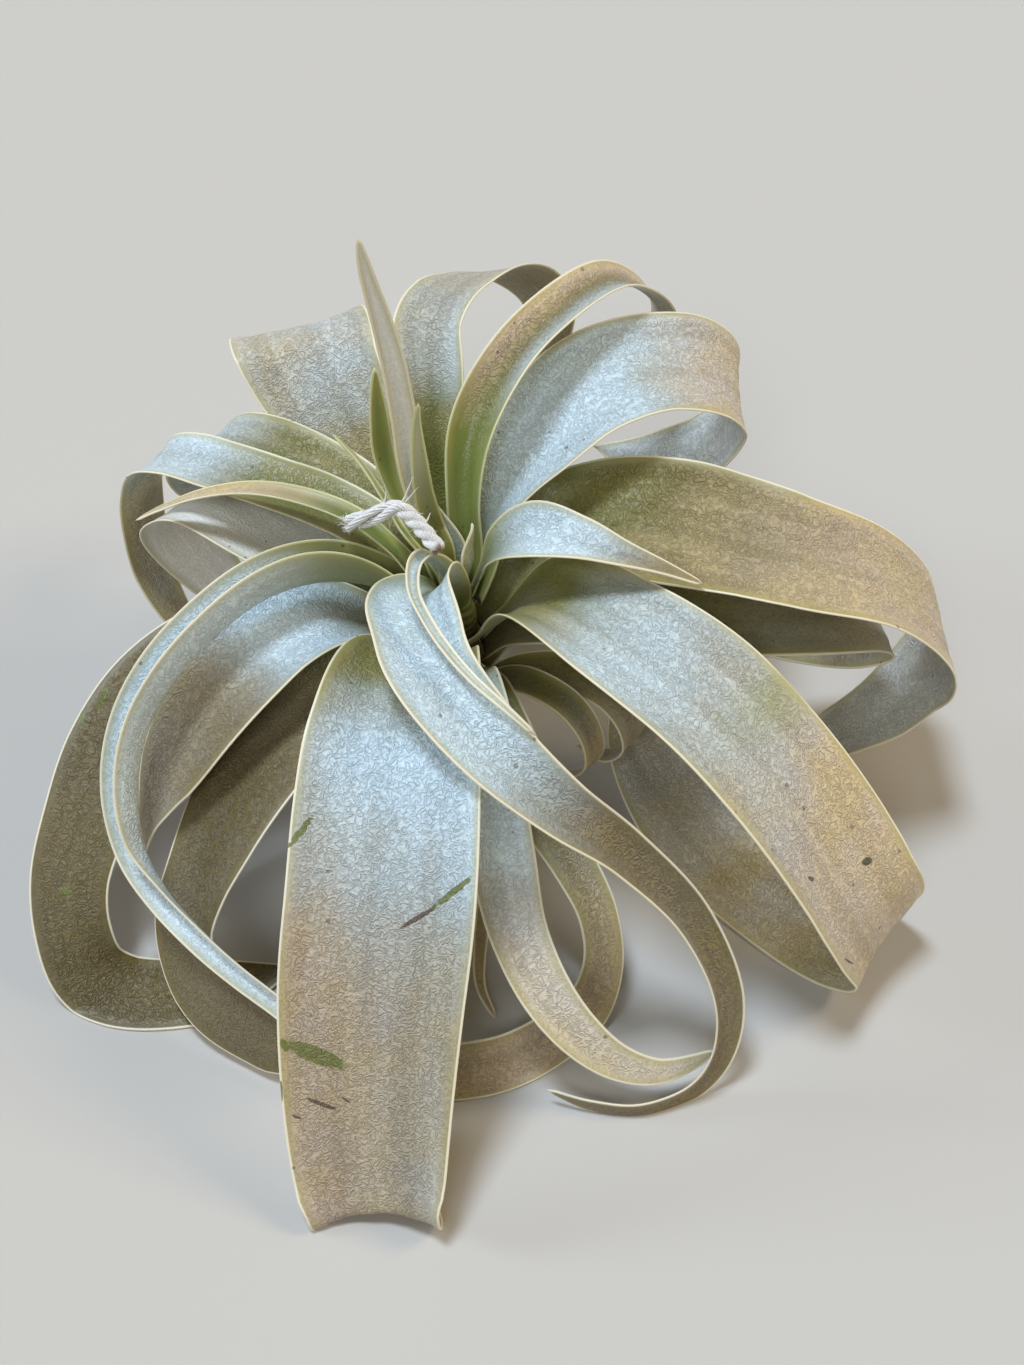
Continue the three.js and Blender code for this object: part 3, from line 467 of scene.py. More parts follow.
        (38, -127, 26, 7.4, 0, 30), (50, -132, 17, 6, 0, 25), (63, -133, 12, 4.4, 0, 10),
        (75, -129, 11, 2.6, 0, 0), (82, -125, 11, 0.9, 0, 0),
    ]),
    "left_dark": (25, -134, 0.9, 0.85, [
        (-23, -17.5, 71.5, 12.5, 0, 65), (-37, -30, 74.5, 17, 0, 50), (-50, -46, 73, 18.5, 0, 40),
        (-62, -59, 67, 18.5, 0, 30), (-72, -70.5, 56, 17, 0, 25), (-81, -80.5, 41, 14.6, 0, 15),
        (-86, -90, 29, 14, 0, 5), (-84, -101, 20, 13.6, 0, 0), (-76, -112, 17, 13.4, 0, 0),
        (-62, -121, 15, 13, 0, 0), (-49, -128, 14, 11, 0, 0), (-39, -131, 15, 6, 0, 0),
        (-31, -131, 17, 1.2, 0, 0),
    ]),
    "back_low": (26, 84, 1, 1, [
        (3, 30, 66, 12, 0, 55), (8, 55, 76, 17, 0, 45), (12, 82, 78, 19, 0, 30), (14, 110, 66, 18, 0, 15),
        (14, 127, 42, 16, 0, 0), (12, 134, 18, 14, 0, 0), (8, 128, 2, 11, 0, 0), (4, 108, 1, 8, 0, 0),
        (2, 92, 4, 1.5, 0, 0),
    ]),
    "front_loop": (27, -65, 1, 1, [
        (11, -28, 62, 10, 0, 55), (19, -46, 57, 10, 0, 40), (28, -61, 49, 9, 0, 30),
        (37.5, -73, 39, 7.6, 0, 20), (45.5, -85, 28, 6.8, 0, 15), (47.5, -96, 17, 7, 0, 10),
        (43, -107, 8, 8, 0, 0), (32, -117, 4.5, 9, 0, 0), (17, -126, 4, 9.6, 0, 0), (0, -130, 5, 9.4, 0, 0),
        (-14, -130, 6, 7.5, 0, 0), (-26, -127, 8, 1.2, 0, 0),
    ]),
    "far_left": (28, 171, 1, 1, [
        (-27, 6, 62, 14, 0, 55), (-52, 3, 63.5, 17.5, -2, 45), (-78, -1, 62, 19, -4, 35),
        (-98, -16, 58, 19, -8, 30), (-112, -36, 50, 17.5, -12, 20), (-120, -56, 40, 15.5, -14, 10),
        (-125, -73, 29, 13.8, -18, 5), (-124, -86, 18, 12.8, -28, 5), (-119, -95, 7, 12.8, -45, 0),
        (-109, -99, 1.6, 13, -62, 0), (-95, -99.5, 1, 12.6, -75, 0), (-80, -98, 1, 11, -78, 0),
        (-64, -93, 1.5, 6.5, -78, 0), (-52, -89, 2.5, 1.2, -78, 0),
    ]),
    "back_left_under": (29, 118, 1, 1, [
        (-21, 32, 62, 14, 0, 60), (-38, 58, 68, 18, 0, 45), (-52, 84, 58, 18, 0, 30),
        (-60, 103, 38, 16, 0, 15), (-62, 109, 17, 13, 0, 0), (-55, 101, 3, 10, 0, 0), (-45, 88, 2, 6, 0, 0),
        (-39, 78, 5, 1.2, 0, 0),
    ]),
    "small_curl": (30, -30, 1, 0.75, [
        (26, -17, 60, 6, 0, 50), (37, -23, 56.5, 6, 0, 40), (44, -27, 46, 6, 0, 30),
        (45, -30, 36, 6, 0, 20), (39, -30, 29, 5, 0, 0), (30, -26, 27, 1, 0, 0),
    ]),
    "back_right_under": (31, 45, 1, 1, [
        (22, 22, 58, 14, 0, 60), (46, 46, 64, 18, 0, 45), (70, 68, 54, 18, 0, 30), (88, 86, 35, 16, 0, 15),
        (94, 92, 14, 13, 0, 0), (84, 82, 2, 10, 0, 0), (68, 66, 2, 5, 0, 0), (58, 58, 5, 1.2, 0, 0),
    ]),
    "right_dark": (32, -9, 1, 0.8, [
        (32, -4.5, 52, 9, 0, 40), (48, -8, 49, 10, 0, 30), (57, -13, 41, 10, 0, 20),
        (59, -17, 31, 9, 0, 10), (52, -17, 23, 7, 0, 0), (44, -13, 21, 3, 0, 0), (40, -11, 21, 1, 0, 0),
    ]),
    "front_thin": (33, -88, 1, 0.8, [
        (3, -26, 48, 8, 0, 50), (7, -48, 48, 7, 0, 40), (11, -68, 34, 4, 0, 30), (8, -88, 16, 2.4, 0, 20),
        (8, -100, 8, 1.8, 0, 10), (13, -110, 4, 0.9, 0, 0),
    ]),
    "front_slender": (3, -98, 0.5, 0.52, [
        (-3.5, -8.2, 104.6, 5.2, -10, 140), (-8, -10, 112.4, 4.5, -27, 150),
        (-12, -17.5, 117.2, 3.8, -38, 150), (-12, -29, 118, 3, -38, 140), (-7.5, -42, 119.5, 2.6, -38, 130),
        (-1.5, -53, 119.5, 2.3, -35, 110), (6.5, -63, 118, 1.8, -25, 90), (16, -71, 115, 1.3, 0, 50),
        (25, -77, 109.5, 0.8, 0, 0),
    ]),
}
FIRST_BASE_HEIGHT = 92
BASE_STEP = 1.5
FIRST_PITCH = 78
PITCH_STEP = 1.3
BASE_RUN = 12
BASE_CLEARANCE = 1.25
BASE_HALF_WIDTH = 6.5
BASE_RUN_HALF_WIDTH = 8.5
BASE_CUP_LIMIT = 165
STEM_TOP, STEM_NECK, STEM_BOTTOM = 93, 79, 34
STEM_TOP_RADIUS, STEM_NECK_RADIUS, STEM_FOOT_RADIUS = 1.6, 6.5, 8.5
MIDRIB_THICKNESS = 1.0
MARGIN_THICKNESS = 0.64
MARGIN_ROUND = 0.32
CARRIED_STATIONS = 22
BEND_WEIGHT = 26
BEND_REACH = 3
TIP_HALF_WIDTH = 0.12
TIP_TAPER = 0.45
ROW_SPACING = 2.3
COLUMN_SPACING = 1.15


def stem_radius(height):
    return float(np.interp(height, (STEM_BOTTOM, STEM_NECK, STEM_TOP),
                           (STEM_FOOT_RADIUS, STEM_NECK_RADIUS, STEM_TOP_RADIUS)))


def leaf_stations(order, azimuth, base, stations):
    """The two stations at the stem, which follow from the leaf's order, and then its own."""
    pitch = math.radians(FIRST_PITCH - PITCH_STEP * order)
    height = FIRST_BASE_HEIGHT - BASE_STEP * order
    turn = math.radians(azimuth)
    rows = []
    for going, width in ((0, BASE_HALF_WIDTH), (BASE_RUN, BASE_RUN_HALF_WIDTH)):
        reach = stem_radius(height) + BASE_CLEARANCE + going * math.cos(pitch)
        half = width * base
        cup = min(BASE_CUP_LIMIT, math.degrees(2 * half * math.sin(pitch) / reach))
        rows.append((reach * math.cos(turn), reach * math.sin(turn), height + going * math.sin(pitch),
                     half, 0, cup))
    return rows + stations


def walk(rows, count):
    """Shares along the blade that are closer together where it bends, and its length."""
    fine = 400
    points = spline_rows(rows, np.linspace(0, 1, fine + 1))[:, :3]
    here = np.arange(1, fine + 1)
    behind = points[here] - points[np.maximum(here - 3, 0)]
    ahead = points[np.minimum(here + 3, fine)] - points[here]
    behind_length = np.linalg.norm(behind, axis=1)
    ahead_length = np.linalg.norm(ahead, axis=1)
    straight = np.sum(behind * ahead, axis=1) / np.maximum(behind_length * ahead_length, 1e-9)
    turning = np.where(ahead_length > 1e-6, np.arccos(np.clip(straight, -1, 1)), 0)
    step = np.linalg.norm(np.diff(points, axis=0), axis=1)
    cost = step * (1 + BEND_WEIGHT * 2 * turning / np.maximum(behind_length + ahead_length, BEND_REACH))
    cost = np.concatenate([[0], np.cumsum(cost)])
    shares = np.interp(np.linspace(0, cost[-1], count + 1), cost, np.linspace(0, 1, fine + 1))
    return shares, float(step.sum())


def blade_line(name):
    """The midrib of a leaf with what its cross-sections need, as arrays with one row for each."""
    order, azimuth, crease, base, stations = LEAVES[name]
    rows = leaf_stations(order, azimuth, base, stations)
    carried, length = walk(rows, CARRIED_STATIONS)
    turn = math.radians(azimuth)
    side = np.array((-math.sin(turn), math.cos(turn), 0))
    sides = []
    for share in carried:
        near = spline_rows(rows, [max(share - 1e-3, 0), min(share + 1e-3, 1)])[:, :3]
        tangent = unit(near[1] - near[0])
        side = unit(side - tangent * side.dot(tangent))
        sides.append(side)
    count = max(40, round(length / ROW_SPACING))
    shares, length = walk(rows, count)
    values = spline_rows(rows, shares)
    near = spline_rows(rows, np.minimum(shares + 1e-3, 1))[:, :3]
    near = near - spline_rows(rows, np.maximum(shares - 1e-3, 0))[:, :3]
    tangents = unit(near)
    side = np.stack([np.interp(shares, carried, np.array(sides)[:, k]) for k in range(3)], axis=1)
    side = unit(side - tangents * np.sum(side * tangents, axis=1, keepdims=True))
    face = np.cross(tangents, side)
    roll = np.radians(values[:, 4])[:, None]
    run = np.concatenate([[0], np.cumsum(np.linalg.norm(np.diff(values[:, :3], axis=0), axis=1))])
    half = np.minimum(values[:, 3], TIP_HALF_WIDTH + TIP_TAPER * (run[-1] - run))
    return {
        "place": values[:, :3] * MM + CROWN,
        "side": side * np.cos(roll) + face * np.sin(roll),
        "face": face * np.cos(roll) - side * np.sin(roll),
        "half": half * MM, "cup": np.radians(np.maximum(values[:, 5], -30)), "run": run * MM,
    }


# The blade: a closed strip whose upper and lower faces stand half a thickness off the cupped midline
blade_tree, blade = new_tree("leaf blade", {
    "Rows": ("Int", 60), "Columns": ("Int", 20), "Crease": ("Float", 1.0),
    "Midrib Thickness": ("Float", MIDRIB_THICKNESS * MM),
    "Margin Thickness": ("Float", MARGIN_THICKNESS * MM),
    "Margin Round": ("Float", MARGIN_ROUND * MM), "Ridge Spacing": ("Float", 7.0 * MM),
    "Ridge Height": ("Float", 0.65 * MM), "Wave Length": ("Float", 32 * MM),
    "Wave Height": ("Float", 0.8 * MM), "Seed": ("Float", 0.0), "Material": ("Material", None),
})
RIDGE_STRETCH = 26.0
WAVE_STRETCH = 1.6
WAVE_SEED = 31.7
WELD = 0.002
# The rounding at a margin: its largest share of the half width, how far its middle column stands in from
# the margin, and that column's share of the blade's thickness
ROUND_SHARE, ROUND_INSET, ROUND_THICKNESS = 0.4, 0.3, 0.71
# Knots and weights of Gauss's three-point rule, which sums the turning of the cross-section
GAUSS = ((0.1127, 5 / 18), (0.5, 8 / 18), (0.8873, 5 / 18))
ring = add(blade_tree, whole, [blade["Columns"], 2, 1], operation="MULTIPLY_ADD")
sheet = add(blade_tree, "GeometryNodeMeshGrid",
            {"Size X": 1.0, "Size Y": 1.0, "Vertices X": blade["Rows"], "Vertices Y": ring})
index = add(blade_tree, "GeometryNodeInputIndex")
row = add(blade_tree, whole, [index, ring], operation="DIVIDE")
around = add(blade_tree, whole, [index, ring], operation="MODULO")
told = {}
for key, kind in (("position", "FLOAT_VECTOR"), ("side", "FLOAT_VECTOR"), ("face", "FLOAT_VECTOR"),
                  ("half", "FLOAT"), ("cup", "FLOAT"), ("run", "FLOAT"),
                  ("leafy", "FLOAT"), ("frost", "FLOAT"), ("warm", "FLOAT"), ("age_and_shade", "FLOAT"),
                  ("lean", "FLOAT"), ("below", "FLOAT"), ("pleat", "FLOAT")):
    field = add(blade_tree, "GeometryNodeInputNamedAttribute", {"Name": key}, data_type=kind)
    told[key] = add(blade_tree, "GeometryNodeSampleIndex",
                    {"Geometry": blade["Geometry"], "Value": field, "Index": row}, data_type=kind)

# Across the strip: column 0 and the last lie on the margins, the next ones just inside their rounding
column = add(blade_tree, real, [around, blade["Columns"]], operation="SUBTRACT")
column = add(blade_tree, real, [column], operation="ABSOLUTE")
column = add(blade_tree, real, [blade["Columns"], column], operation="SUBTRACT")
opposite = add(blade_tree, real, [blade["Columns"], column], operation="SUBTRACT")
from_edge = add(blade_tree, real, [column, opposite], operation="MINIMUM")
sign = add(blade_tree, real, [column, opposite], operation="SUBTRACT")
sign = add(blade_tree, real, [sign], operation="SIGN")
upper = add(blade_tree, real, [around, blade["Columns"]], operation="SUBTRACT")
upper = add(blade_tree, real, [upper, 0.5], operation="LESS_THAN")
edge = add(blade_tree, real, [told["half"], ROUND_SHARE], operation="MULTIPLY")
edge = add(blade_tree, real, [blade["Margin Round"], edge], operation="MINIMUM")
spread = add(blade_tree, real, [blade["Columns"], 4.0], operation="SUBTRACT")
inner = add(blade_tree, real, [column, 2.0, -4.0], operation="MULTIPLY_ADD")
inner = add(blade_tree, real, [inner, spread], operation="DIVIDE")
inner = add(blade_tree, real, [inner, 1.0], operation="SUBTRACT")
room = add(blade_tree, real, [told["half"], edge], operation="SUBTRACT")
inner = add(blade_tree, real, [inner, room], operation="MULTIPLY")
outer = add(blade_tree, real, [edge, from_edge], operation="MULTIPLY")
outer = add(blade_tree, real, [outer, -ROUND_INSET, told["half"]], operation="MULTIPLY_ADD")
outer = add(blade_tree, real, [outer, sign], operation="MULTIPLY")
rounding = add(blade_tree, real, [from_edge, 1.5], operation="LESS_THAN")
across = add(blade_tree, "ShaderNodeMix", {0: rounding, 2: inner, 3: outer}, data_type="FLOAT")
width = add(blade_tree, real, [across], operation="ABSOLUTE")
share = add(blade_tree, real, [width, told["half"]], operation="DIVIDE")

# The cup: the cross-section turns more and more steeply from the midrib to the margin
half_cup = add(blade_tree, real, [told["cup"], 0.5], operation="MULTIPLY")
flat_sum, rise_sum = 0.0, 0.0
for knot, weight in GAUSS:
    slope = add(blade_tree, real, [share, knot], operation="MULTIPLY")
    slope = add(blade_tree, real, [slope, blade["Crease"]], operation="POWER")
    slope = add(blade_tree, real, [slope, half_cup], operation="MULTIPLY")
    flat = add(blade_tree, real, [slope], operation="COSINE")
    rise = add(blade_tree, real, [slope], operation="SINE")
    flat_sum = add(blade_tree, real, [flat, weight, flat_sum], operation="MULTIPLY_ADD")
    rise_sum = add(blade_tree, real, [rise, weight, rise_sum], operation="MULTIPLY_ADD")
along = add(blade_tree, real, [across, flat_sum], operation="MULTIPLY")
up = add(blade_tree, real, [width, rise_sum], operation="MULTIPLY")
slope = add(blade_tree, real, [share, blade["Crease"]], operation="POWER")
slope = add(blade_tree, real, [slope, half_cup], operation="MULTIPLY")
slope = add(blade_tree, real, [slope, sign], operation="MULTIPLY")
lean = add(blade_tree, real, [slope], operation="SINE")
lean = add(blade_tree, real, [lean, -1.0], operation="MULTIPLY")
level = add(blade_tree, real, [slope], operation="COSINE")
spot = add(blade_tree, vector, {0: told["side"], "Scale": along}, operation="SCALE")
spot = add(blade_tree, vector, [spot, told["position"]], operation="ADD")
raised = add(blade_tree, vector, {0: told["face"], "Scale": up}, operation="SCALE")
spot = add(blade_tree, vector, [spot, raised], operation="ADD")
normal = add(blade_tree, vector, {0: told["face"], "Scale": level}, operation="SCALE")
leaning = add(blade_tree, vector, {0: told["side"], "Scale": lean}, operation="SCALE")
normal = add(blade_tree, vector, [normal, leaning], operation="ADD")

# Relief: long parallel ridges over the veins, and a slow unevenness of the whole blade
relief = 0.0
for spacing, stretch, height, shift in (
        (blade["Ridge Spacing"], RIDGE_STRETCH, blade["Ridge Height"], 0.0),
        (blade["Wave Length"], WAVE_STRETCH, blade["Wave Height"], WAVE_SEED)):
    x = add(blade_tree, real, [across, spacing], operation="DIVIDE")
    y = add(blade_tree, real, [told["run"], spacing], operation="DIVIDE")
    y = add(blade_tree, real, [y, stretch], operation="DIVIDE")
    z = add(blade_tree, real, [blade["Seed"], shift], operation="ADD")
    at = add(blade_tree, "ShaderNodeCombineXYZ", [x, y, z])
    bump = add(blade_tree, "ShaderNodeTexNoise", {"Vector": at, "Scale": 1.0, "Detail": 1.0})
    bump = add(blade_tree, real, [bump, 0.5], operation="SUBTRACT")
    bump = add(blade_tree, real, [bump, 2.0], operation="MULTIPLY")
    relief = add(blade_tree, real, [bump, height, relief], operation="MULTIPLY_ADD")
relief = add(blade_tree, real, [relief, told["pleat"]], operation="MULTIPLY")

# Thickness: full at the midrib, thin at the rounded margins, closed at the base and the tip
thick = add(blade_tree, "ShaderNodeMix",
            {0: share, 2: blade["Midrib Thickness"], 3: blade["Margin Thickness"]}, data_type="FLOAT")
solid = add(blade_tree, real, [from_edge, ROUND_THICKNESS], operation="MULTIPLY")
solid = add(blade_tree, real, [solid, 1.0], operation="MINIMUM")
thick = add(blade_tree, real, [thick, solid], operation="MULTIPLY")
beyond = add(blade_tree, real, [blade["Rows"], row], operation="SUBTRACT")
beyond = add(blade_tree, real, [beyond, 1.0], operation="SUBTRACT")
ends = add(blade_tree, real, [beyond, row], operation="MINIMUM")
ends = add(blade_tree, real, [ends, 1.0], operation="MINIMUM")
thick = add(blade_tree, real, [thick, ends], operation="MULTIPLY")
facing = add(blade_tree, real, [upper, 0.5], operation="SUBTRACT")
stand_off = add(blade_tree, real, [facing, thick, relief], operation="MULTIPLY_ADD")
stand_off = add(blade_tree, vector, {0: normal, "Scale": stand_off}, operation="SCALE")
final = add(blade_tree, vector, [spot, stand_off], operation="ADD")

# Nothing goes through the table: both faces of the strip rise together where the lower would
spot_z = add(blade_tree, "ShaderNodeSeparateXYZ", [spot], out=2)
normal_z = add(blade_tree, "ShaderNodeSeparateXYZ", [normal], out=2)
lowest = add(blade_tree, real, [normal_z, relief, spot_z], operation="MULTIPLY_ADD")
normal_z = add(blade_tree, real, [normal_z], operation="ABSOLUTE")
below = add(blade_tree, real, [normal_z, thick], operation="MULTIPLY")
lowest = add(blade_tree, real, [below, -0.5, lowest], operation="MULTIPLY_ADD")
lift = add(blade_tree, real, [lowest, -1.0], operation="MULTIPLY")
lift = add(blade_tree, real, [lift, 0.0], operation="MAXIMUM")
lift = add(blade_tree, "ShaderNodeCombineXYZ", {2: lift})
final = add(blade_tree, vector, [final, lift], operation="ADD")
strip = add(blade_tree, "GeometryNodeSetPosition", {"Geometry": sheet, "Position": final})
inset = add(blade_tree, real, [told["half"], width], operation="SUBTRACT")
for key, value, size in (("across", across, 1 / MM), ("inset", inset, 1 / MM), ("run", told["run"], 1 / MM),
                         ("upper", upper, 1.0), ("leafy", told["leafy"], 1.0), ("frost", told["frost"], 1.0),
                         ("warm", told["warm"], 1.0), ("age_and_shade", told["age_and_shade"], 1.0),
                         ("lean", told["lean"], 1.0), ("below", told["below"], 1.0)):
    value = add(blade_tree, real, [value, size], operation="MULTIPLY")
    strip = add(blade_tree, "GeometryNodeStoreNamedAttribute",
                {"Geometry": strip, "Name": key, "Value": value}, data_type="FLOAT", domain="POINT")
strip = add(blade_tree, "GeometryNodeMergeByDistance", {"Geometry": strip, "Distance": WELD * MM})
strip = add(blade_tree, "GeometryNodeSetShadeSmooth", {"Geometry": strip})
strip = add(blade_tree, "GeometryNodeRealizeInstances", {"Geometry": strip})
strip = add(blade_tree, "GeometryNodeSetMaterial", {"Geometry": strip, "Material": blade["Material"]})
add(blade_tree, "NodeGroupOutput", [strip])

# Leaf skin: living tissue under a dense felt of tiny silver scales. Where the scales lie thick the leaf
# is a frosty blue grey, where they are thin the olive green below shows, and with age and sun it turns a
# warm tan. The felt is matt and lies in fine wandering ridges, 0.5 mm apart and drawn here at 1.2 mm.
LEAF_GREEN = "79843d"
LEAF_OLIVE = "7f7238"
LEAF_FROST = "cadde4"
LEAF_TAN = "ceb98d"
LEAF_PINK = "cfb9a4"
LEAF_UNDER = "9c9668"
# A dull olive brown: the colour of age, and painted shade where a leaf lies in shade
LEAF_AGED_AND_SHADED = "5b4e18"
# A bleached white: pale thick frost, and painted light on leaves that lie in shade
LEAF_BLEACHED_AND_LIT = "f2eee2"
LEAF_MARGIN = "f6eccf"
LEAF_GREEN_MARGIN = "cfd39a"
LEAF_STRIP = "b0a75e"
LEAF_SPECK = "4d4129"
FELT_WIDTH = 2.4
FELT_FOLDS = 30.0
MOTTLE_WIDTH = 0.8
LINE_SPACING = 9.0
PATCH_WIDTH = 24
MARGIN_WIDTH = 0.85
STRIP_WIDTH = 3.4
SPECK_SPACING = 5.5
SPECK_WIDTH = 0.8
SCUFF_GREEN = "6a6f28"
SCUFF_BROWN = "5b4632"
SCUFF_DARK = "3f3d1a"
SCUFF_FRESH = "a9a65c"
FELT_RELIEF = 0.2
FELT_SHADE = 0.18
MOTTLE_SHADE = 0.4
LINE_STRETCH = 16
LINE_RELIEF = 1.2
RIM_COVER, STRIP_COVER, SPECK_COVER, SCUFF_COVER = 0.9, 0.7, 0.6, 0.92
SKIN_ROUGHNESS = 0.47
GREEN_GLOSS = 0.14
# How strongly the wide patches, and the lines along the veins, sway each of the skin's tones
PATCH_SWAY = {"frost": 0.8, "warm": -0.9, "below": 1.3}
VEIN_SWAY = {"frost": 0.6, "warm": 0.8, "below": 0.8, "shade": 0.4}


def leaf_skin(name, scuffs=()):
    """The skin material. A scuff is its place along and across the blade, its length and width in mm, its
    turn in degrees, its colour, how ragged its rim is, and how softly it fades."""
    made = bpy.data.materials.new(name)
    made.use_nodes = True
    tree = made.node_tree
    tree.nodes.clear()

    def mixed(share, first, second):
        first, second = (colour(c) if isinstance(c, str) else c for c in (first, second))
        return add(tree, "ShaderNodeMix", {0: share, 6: first, 7: second}, out=2, data_type="RGBA")

    told = {key: add(tree, "ShaderNodeAttribute", out="Fac", attribute_name=key)
            for key in ("across", "inset", "run", "upper", "leafy", "frost", "warm", "age_and_shade", "lean", "below")}
    place = add(tree, "ShaderNodeTexCoord", out="Object")
    patch = add(tree, "ShaderNodeTexNoise", {"Vector": place, "Scale": 1 / (PATCH_WIDTH * MM), "Detail": 3.0})
    patch = add(tree, real, [patch, 0.5], operation="SUBTRACT")
    flat_place = add(tree, "ShaderNodeCombineXYZ", [told["across"], told["run"]])

    # Ridges of the felt, the finer mottle in it, and a few long lines that follow the veins
    felt = add(tree, "ShaderNodeTexNoise", {"Vector": place, "Scale": 1 / (FELT_WIDTH * MM), "Detail": 1.0,
                                            "Distortion": 0.5})
    felt = add(tree, real, [felt, FELT_FOLDS], operation="MULTIPLY")
    felt = add(tree, real, [felt], operation="SINE")
    crest = add(tree, real, [felt], operation="ABSOLUTE")
    felt = add(tree, real, [felt, crest], operation="MULTIPLY")
    mottle = add(tree, "ShaderNodeTexNoise",
                 {"Vector": place, "Scale": 1 / (MOTTLE_WIDTH * MM), "Detail": 2.0})
    mottle = add(tree, real, [mottle, 0.5], operation="SUBTRACT")
    x = add(tree, real, [told["across"], LINE_SPACING], operation="DIVIDE")
    y = add(tree, real, [told["run"], LINE_STRETCH * LINE_SPACING], operation="DIVIDE")
    lengthways = add(tree, "ShaderNodeCombineXYZ", [x, y])
    broad = add(tree, "ShaderNodeTexNoise", {"Vector": lengthways, "Scale": 1.0, "Detail": 3.0})
    broad = add(tree, real, [broad, 0.5], operation="SUBTRACT")
    line = add(tree, real, [broad], operation="ABSOLUTE")
    line = add(tree, "ShaderNodeMapRange", {"Value": line, "From Min": 0.0, "From Max": 0.012,
                                            "To Min": 1.0, "To Max": 0.0})

    # Colour: olive tissue, the frost of the scales over it, then green at the base and tan with age
    half = add(tree, real, [told["across"]], operation="ABSOLUTE")
    half = add(tree, real, [half, told["inset"]], operation="ADD")
    # Frost leans towards one margin and tan towards the other: partly a painted highlight on one half of the
    # cupped blade
    lean = add(tree, real, [told["across"], half], operation="DIVIDE")
    lean = add(tree, real, [lean, told["lean"]], operation="MULTIPLY")
    frost = add(tree, real, [patch, PATCH_SWAY["frost"], told["frost"]], operation="MULTIPLY_ADD")
    frost = add(tree, real, [frost, lean], operation="ADD")
    frost = add(tree, real, [broad, VEIN_SWAY["frost"], frost], operation="MULTIPLY_ADD", use_clamp=True)
    some = add(tree, real, [told["frost"], 4.0], operation="MULTIPLY", use_clamp=True)
    frost = add(tree, real, [frost, some], operation="MULTIPLY")
    warm = add(tree, real, [patch, PATCH_SWAY["warm"], told["warm"]], operation="MULTIPLY_ADD")
    warm = add(tree, real, [warm, lean], operation="SUBTRACT")
    warm = add(tree, real, [broad, VEIN_SWAY["warm"], warm], operation="MULTIPLY_ADD", use_clamp=True)
    pink = add(tree, real, [patch, 3.0, 0.4], operation="MULTIPLY_ADD", use_clamp=True)
    skin = mixed(told["leafy"], LEAF_OLIVE, LEAF_GREEN)
    skin = mixed(warm, skin, mixed(pink, LEAF_TAN, LEAF_PINK))
    skin = mixed(frost, skin, LEAF_FROST)
    under = add(tree, real, [told["upper"], -0.5, 0.5], operation="MULTIPLY_ADD")
    below = add(tree, real, [patch, PATCH_SWAY["below"], told["below"]], operation="MULTIPLY_ADD")
    below = add(tree, real, [broad, VEIN_SWAY["below"], below], operation="MULTIPLY_ADD", use_clamp=True)
    below = mixed(below, LEAF_UNDER, LEAF_FROST)
    skin = mixed(under, skin, mixed(told["leafy"], below, LEAF_GREEN))
    # Painted shade: the dull olive brown of age also darkens leaves, and parts of leaves, that lie in shade
    age_and_shade = add(tree, real, [told["age_and_shade"], 0.0], operation="MAXIMUM")
    skin = mixed(age_and_shade, skin, LEAF_AGED_AND_SHADED)
    # Painted light: below 0 the skin pales to a bleached white, on pale frosted leaves and on leaves that lie
    # in shade
    bleach_and_light = add(tree, real, [told["age_and_shade"], -1.0], operation="MULTIPLY", use_clamp=True)
    skin = mixed(bleach_and_light, skin, LEAF_BLEACHED_AND_LIT)
    # Painted shade and light along the lengthwise pleats over the veins, with a thin paler line at each vein
    shade = add(tree, real, [broad, VEIN_SWAY["shade"], 1.0], operation="MULTIPLY_ADD")
    shade = add(tree, real, [line, 0.1, shade], operation="MULTIPLY_ADD")
    grain = add(tree, real, [mottle, MOTTLE_SHADE], operation="MULTIPLY")
    grain = add(tree, real, [felt, FELT_SHADE, grain], operation="MULTIPLY_ADD")
    covered = add(tree, real, [told["leafy"], -0.85, 1.0], operation="MULTIPLY_ADD")
    covered = add(tree, real, [bleach_and_light, -0.6, covered], operation="MULTIPLY_ADD", use_clamp=True)
    shade = add(tree, real, [grain, covered, shade], operation="MULTIPLY_ADD")
    skin = add(tree, vector, {0: skin, "Scale": shade}, operation="SCALE")

    # The margin has no green tissue: a thin pale line, and a smooth paler strip inside it
    strip = add(tree, "ShaderNodeMapRange", {"Value": told["inset"], "From Min": 0.0, "From Max": STRIP_WIDTH,
                                             "To Min": STRIP_COVER, "To Max": 0.0})
    young = add(tree, real, [1.0, age_and_shade], operation="SUBTRACT", use_clamp=True)
    strip = add(tree, real, [strip, young], operation="MULTIPLY")
    skin = mixed(strip, skin, LEAF_STRIP)
    rim = add(tree, "ShaderNodeMapRange", {"Value": told["inset"], "From Min": 0.6 * MARGIN_WIDTH,
                                           "From Max": MARGIN_WIDTH, "To Min": RIM_COVER, "To Max": 0.0})
    skin = mixed(rim, skin, mixed(told["leafy"], LEAF_MARGIN, LEAF_GREEN_MARGIN))

    # Scattered brown specks
    cells = add(tree, "ShaderNodeTexVoronoi", {"Vector": place, "Scale": 1 / (SPECK_SPACING * MM)}, out=None)
    radius = add(tree, "ShaderNodeSeparateColor", {"Color": cells.outputs["Color"]})
    radius = add(tree, real, [radius, 5.0], operation="POWER")
    radius = add(tree, real, [radius, SPECK_WIDTH / SPECK_SPACING], operation="MULTIPLY")
    speck = add(tree, real, [cells.outputs["Distance"], radius], operation="LESS_THAN")
    speck = add(tree, real, [speck, SPECK_COVER], operation="MULTIPLY")
    skin = mixed(speck, skin, LEAF_SPECK)

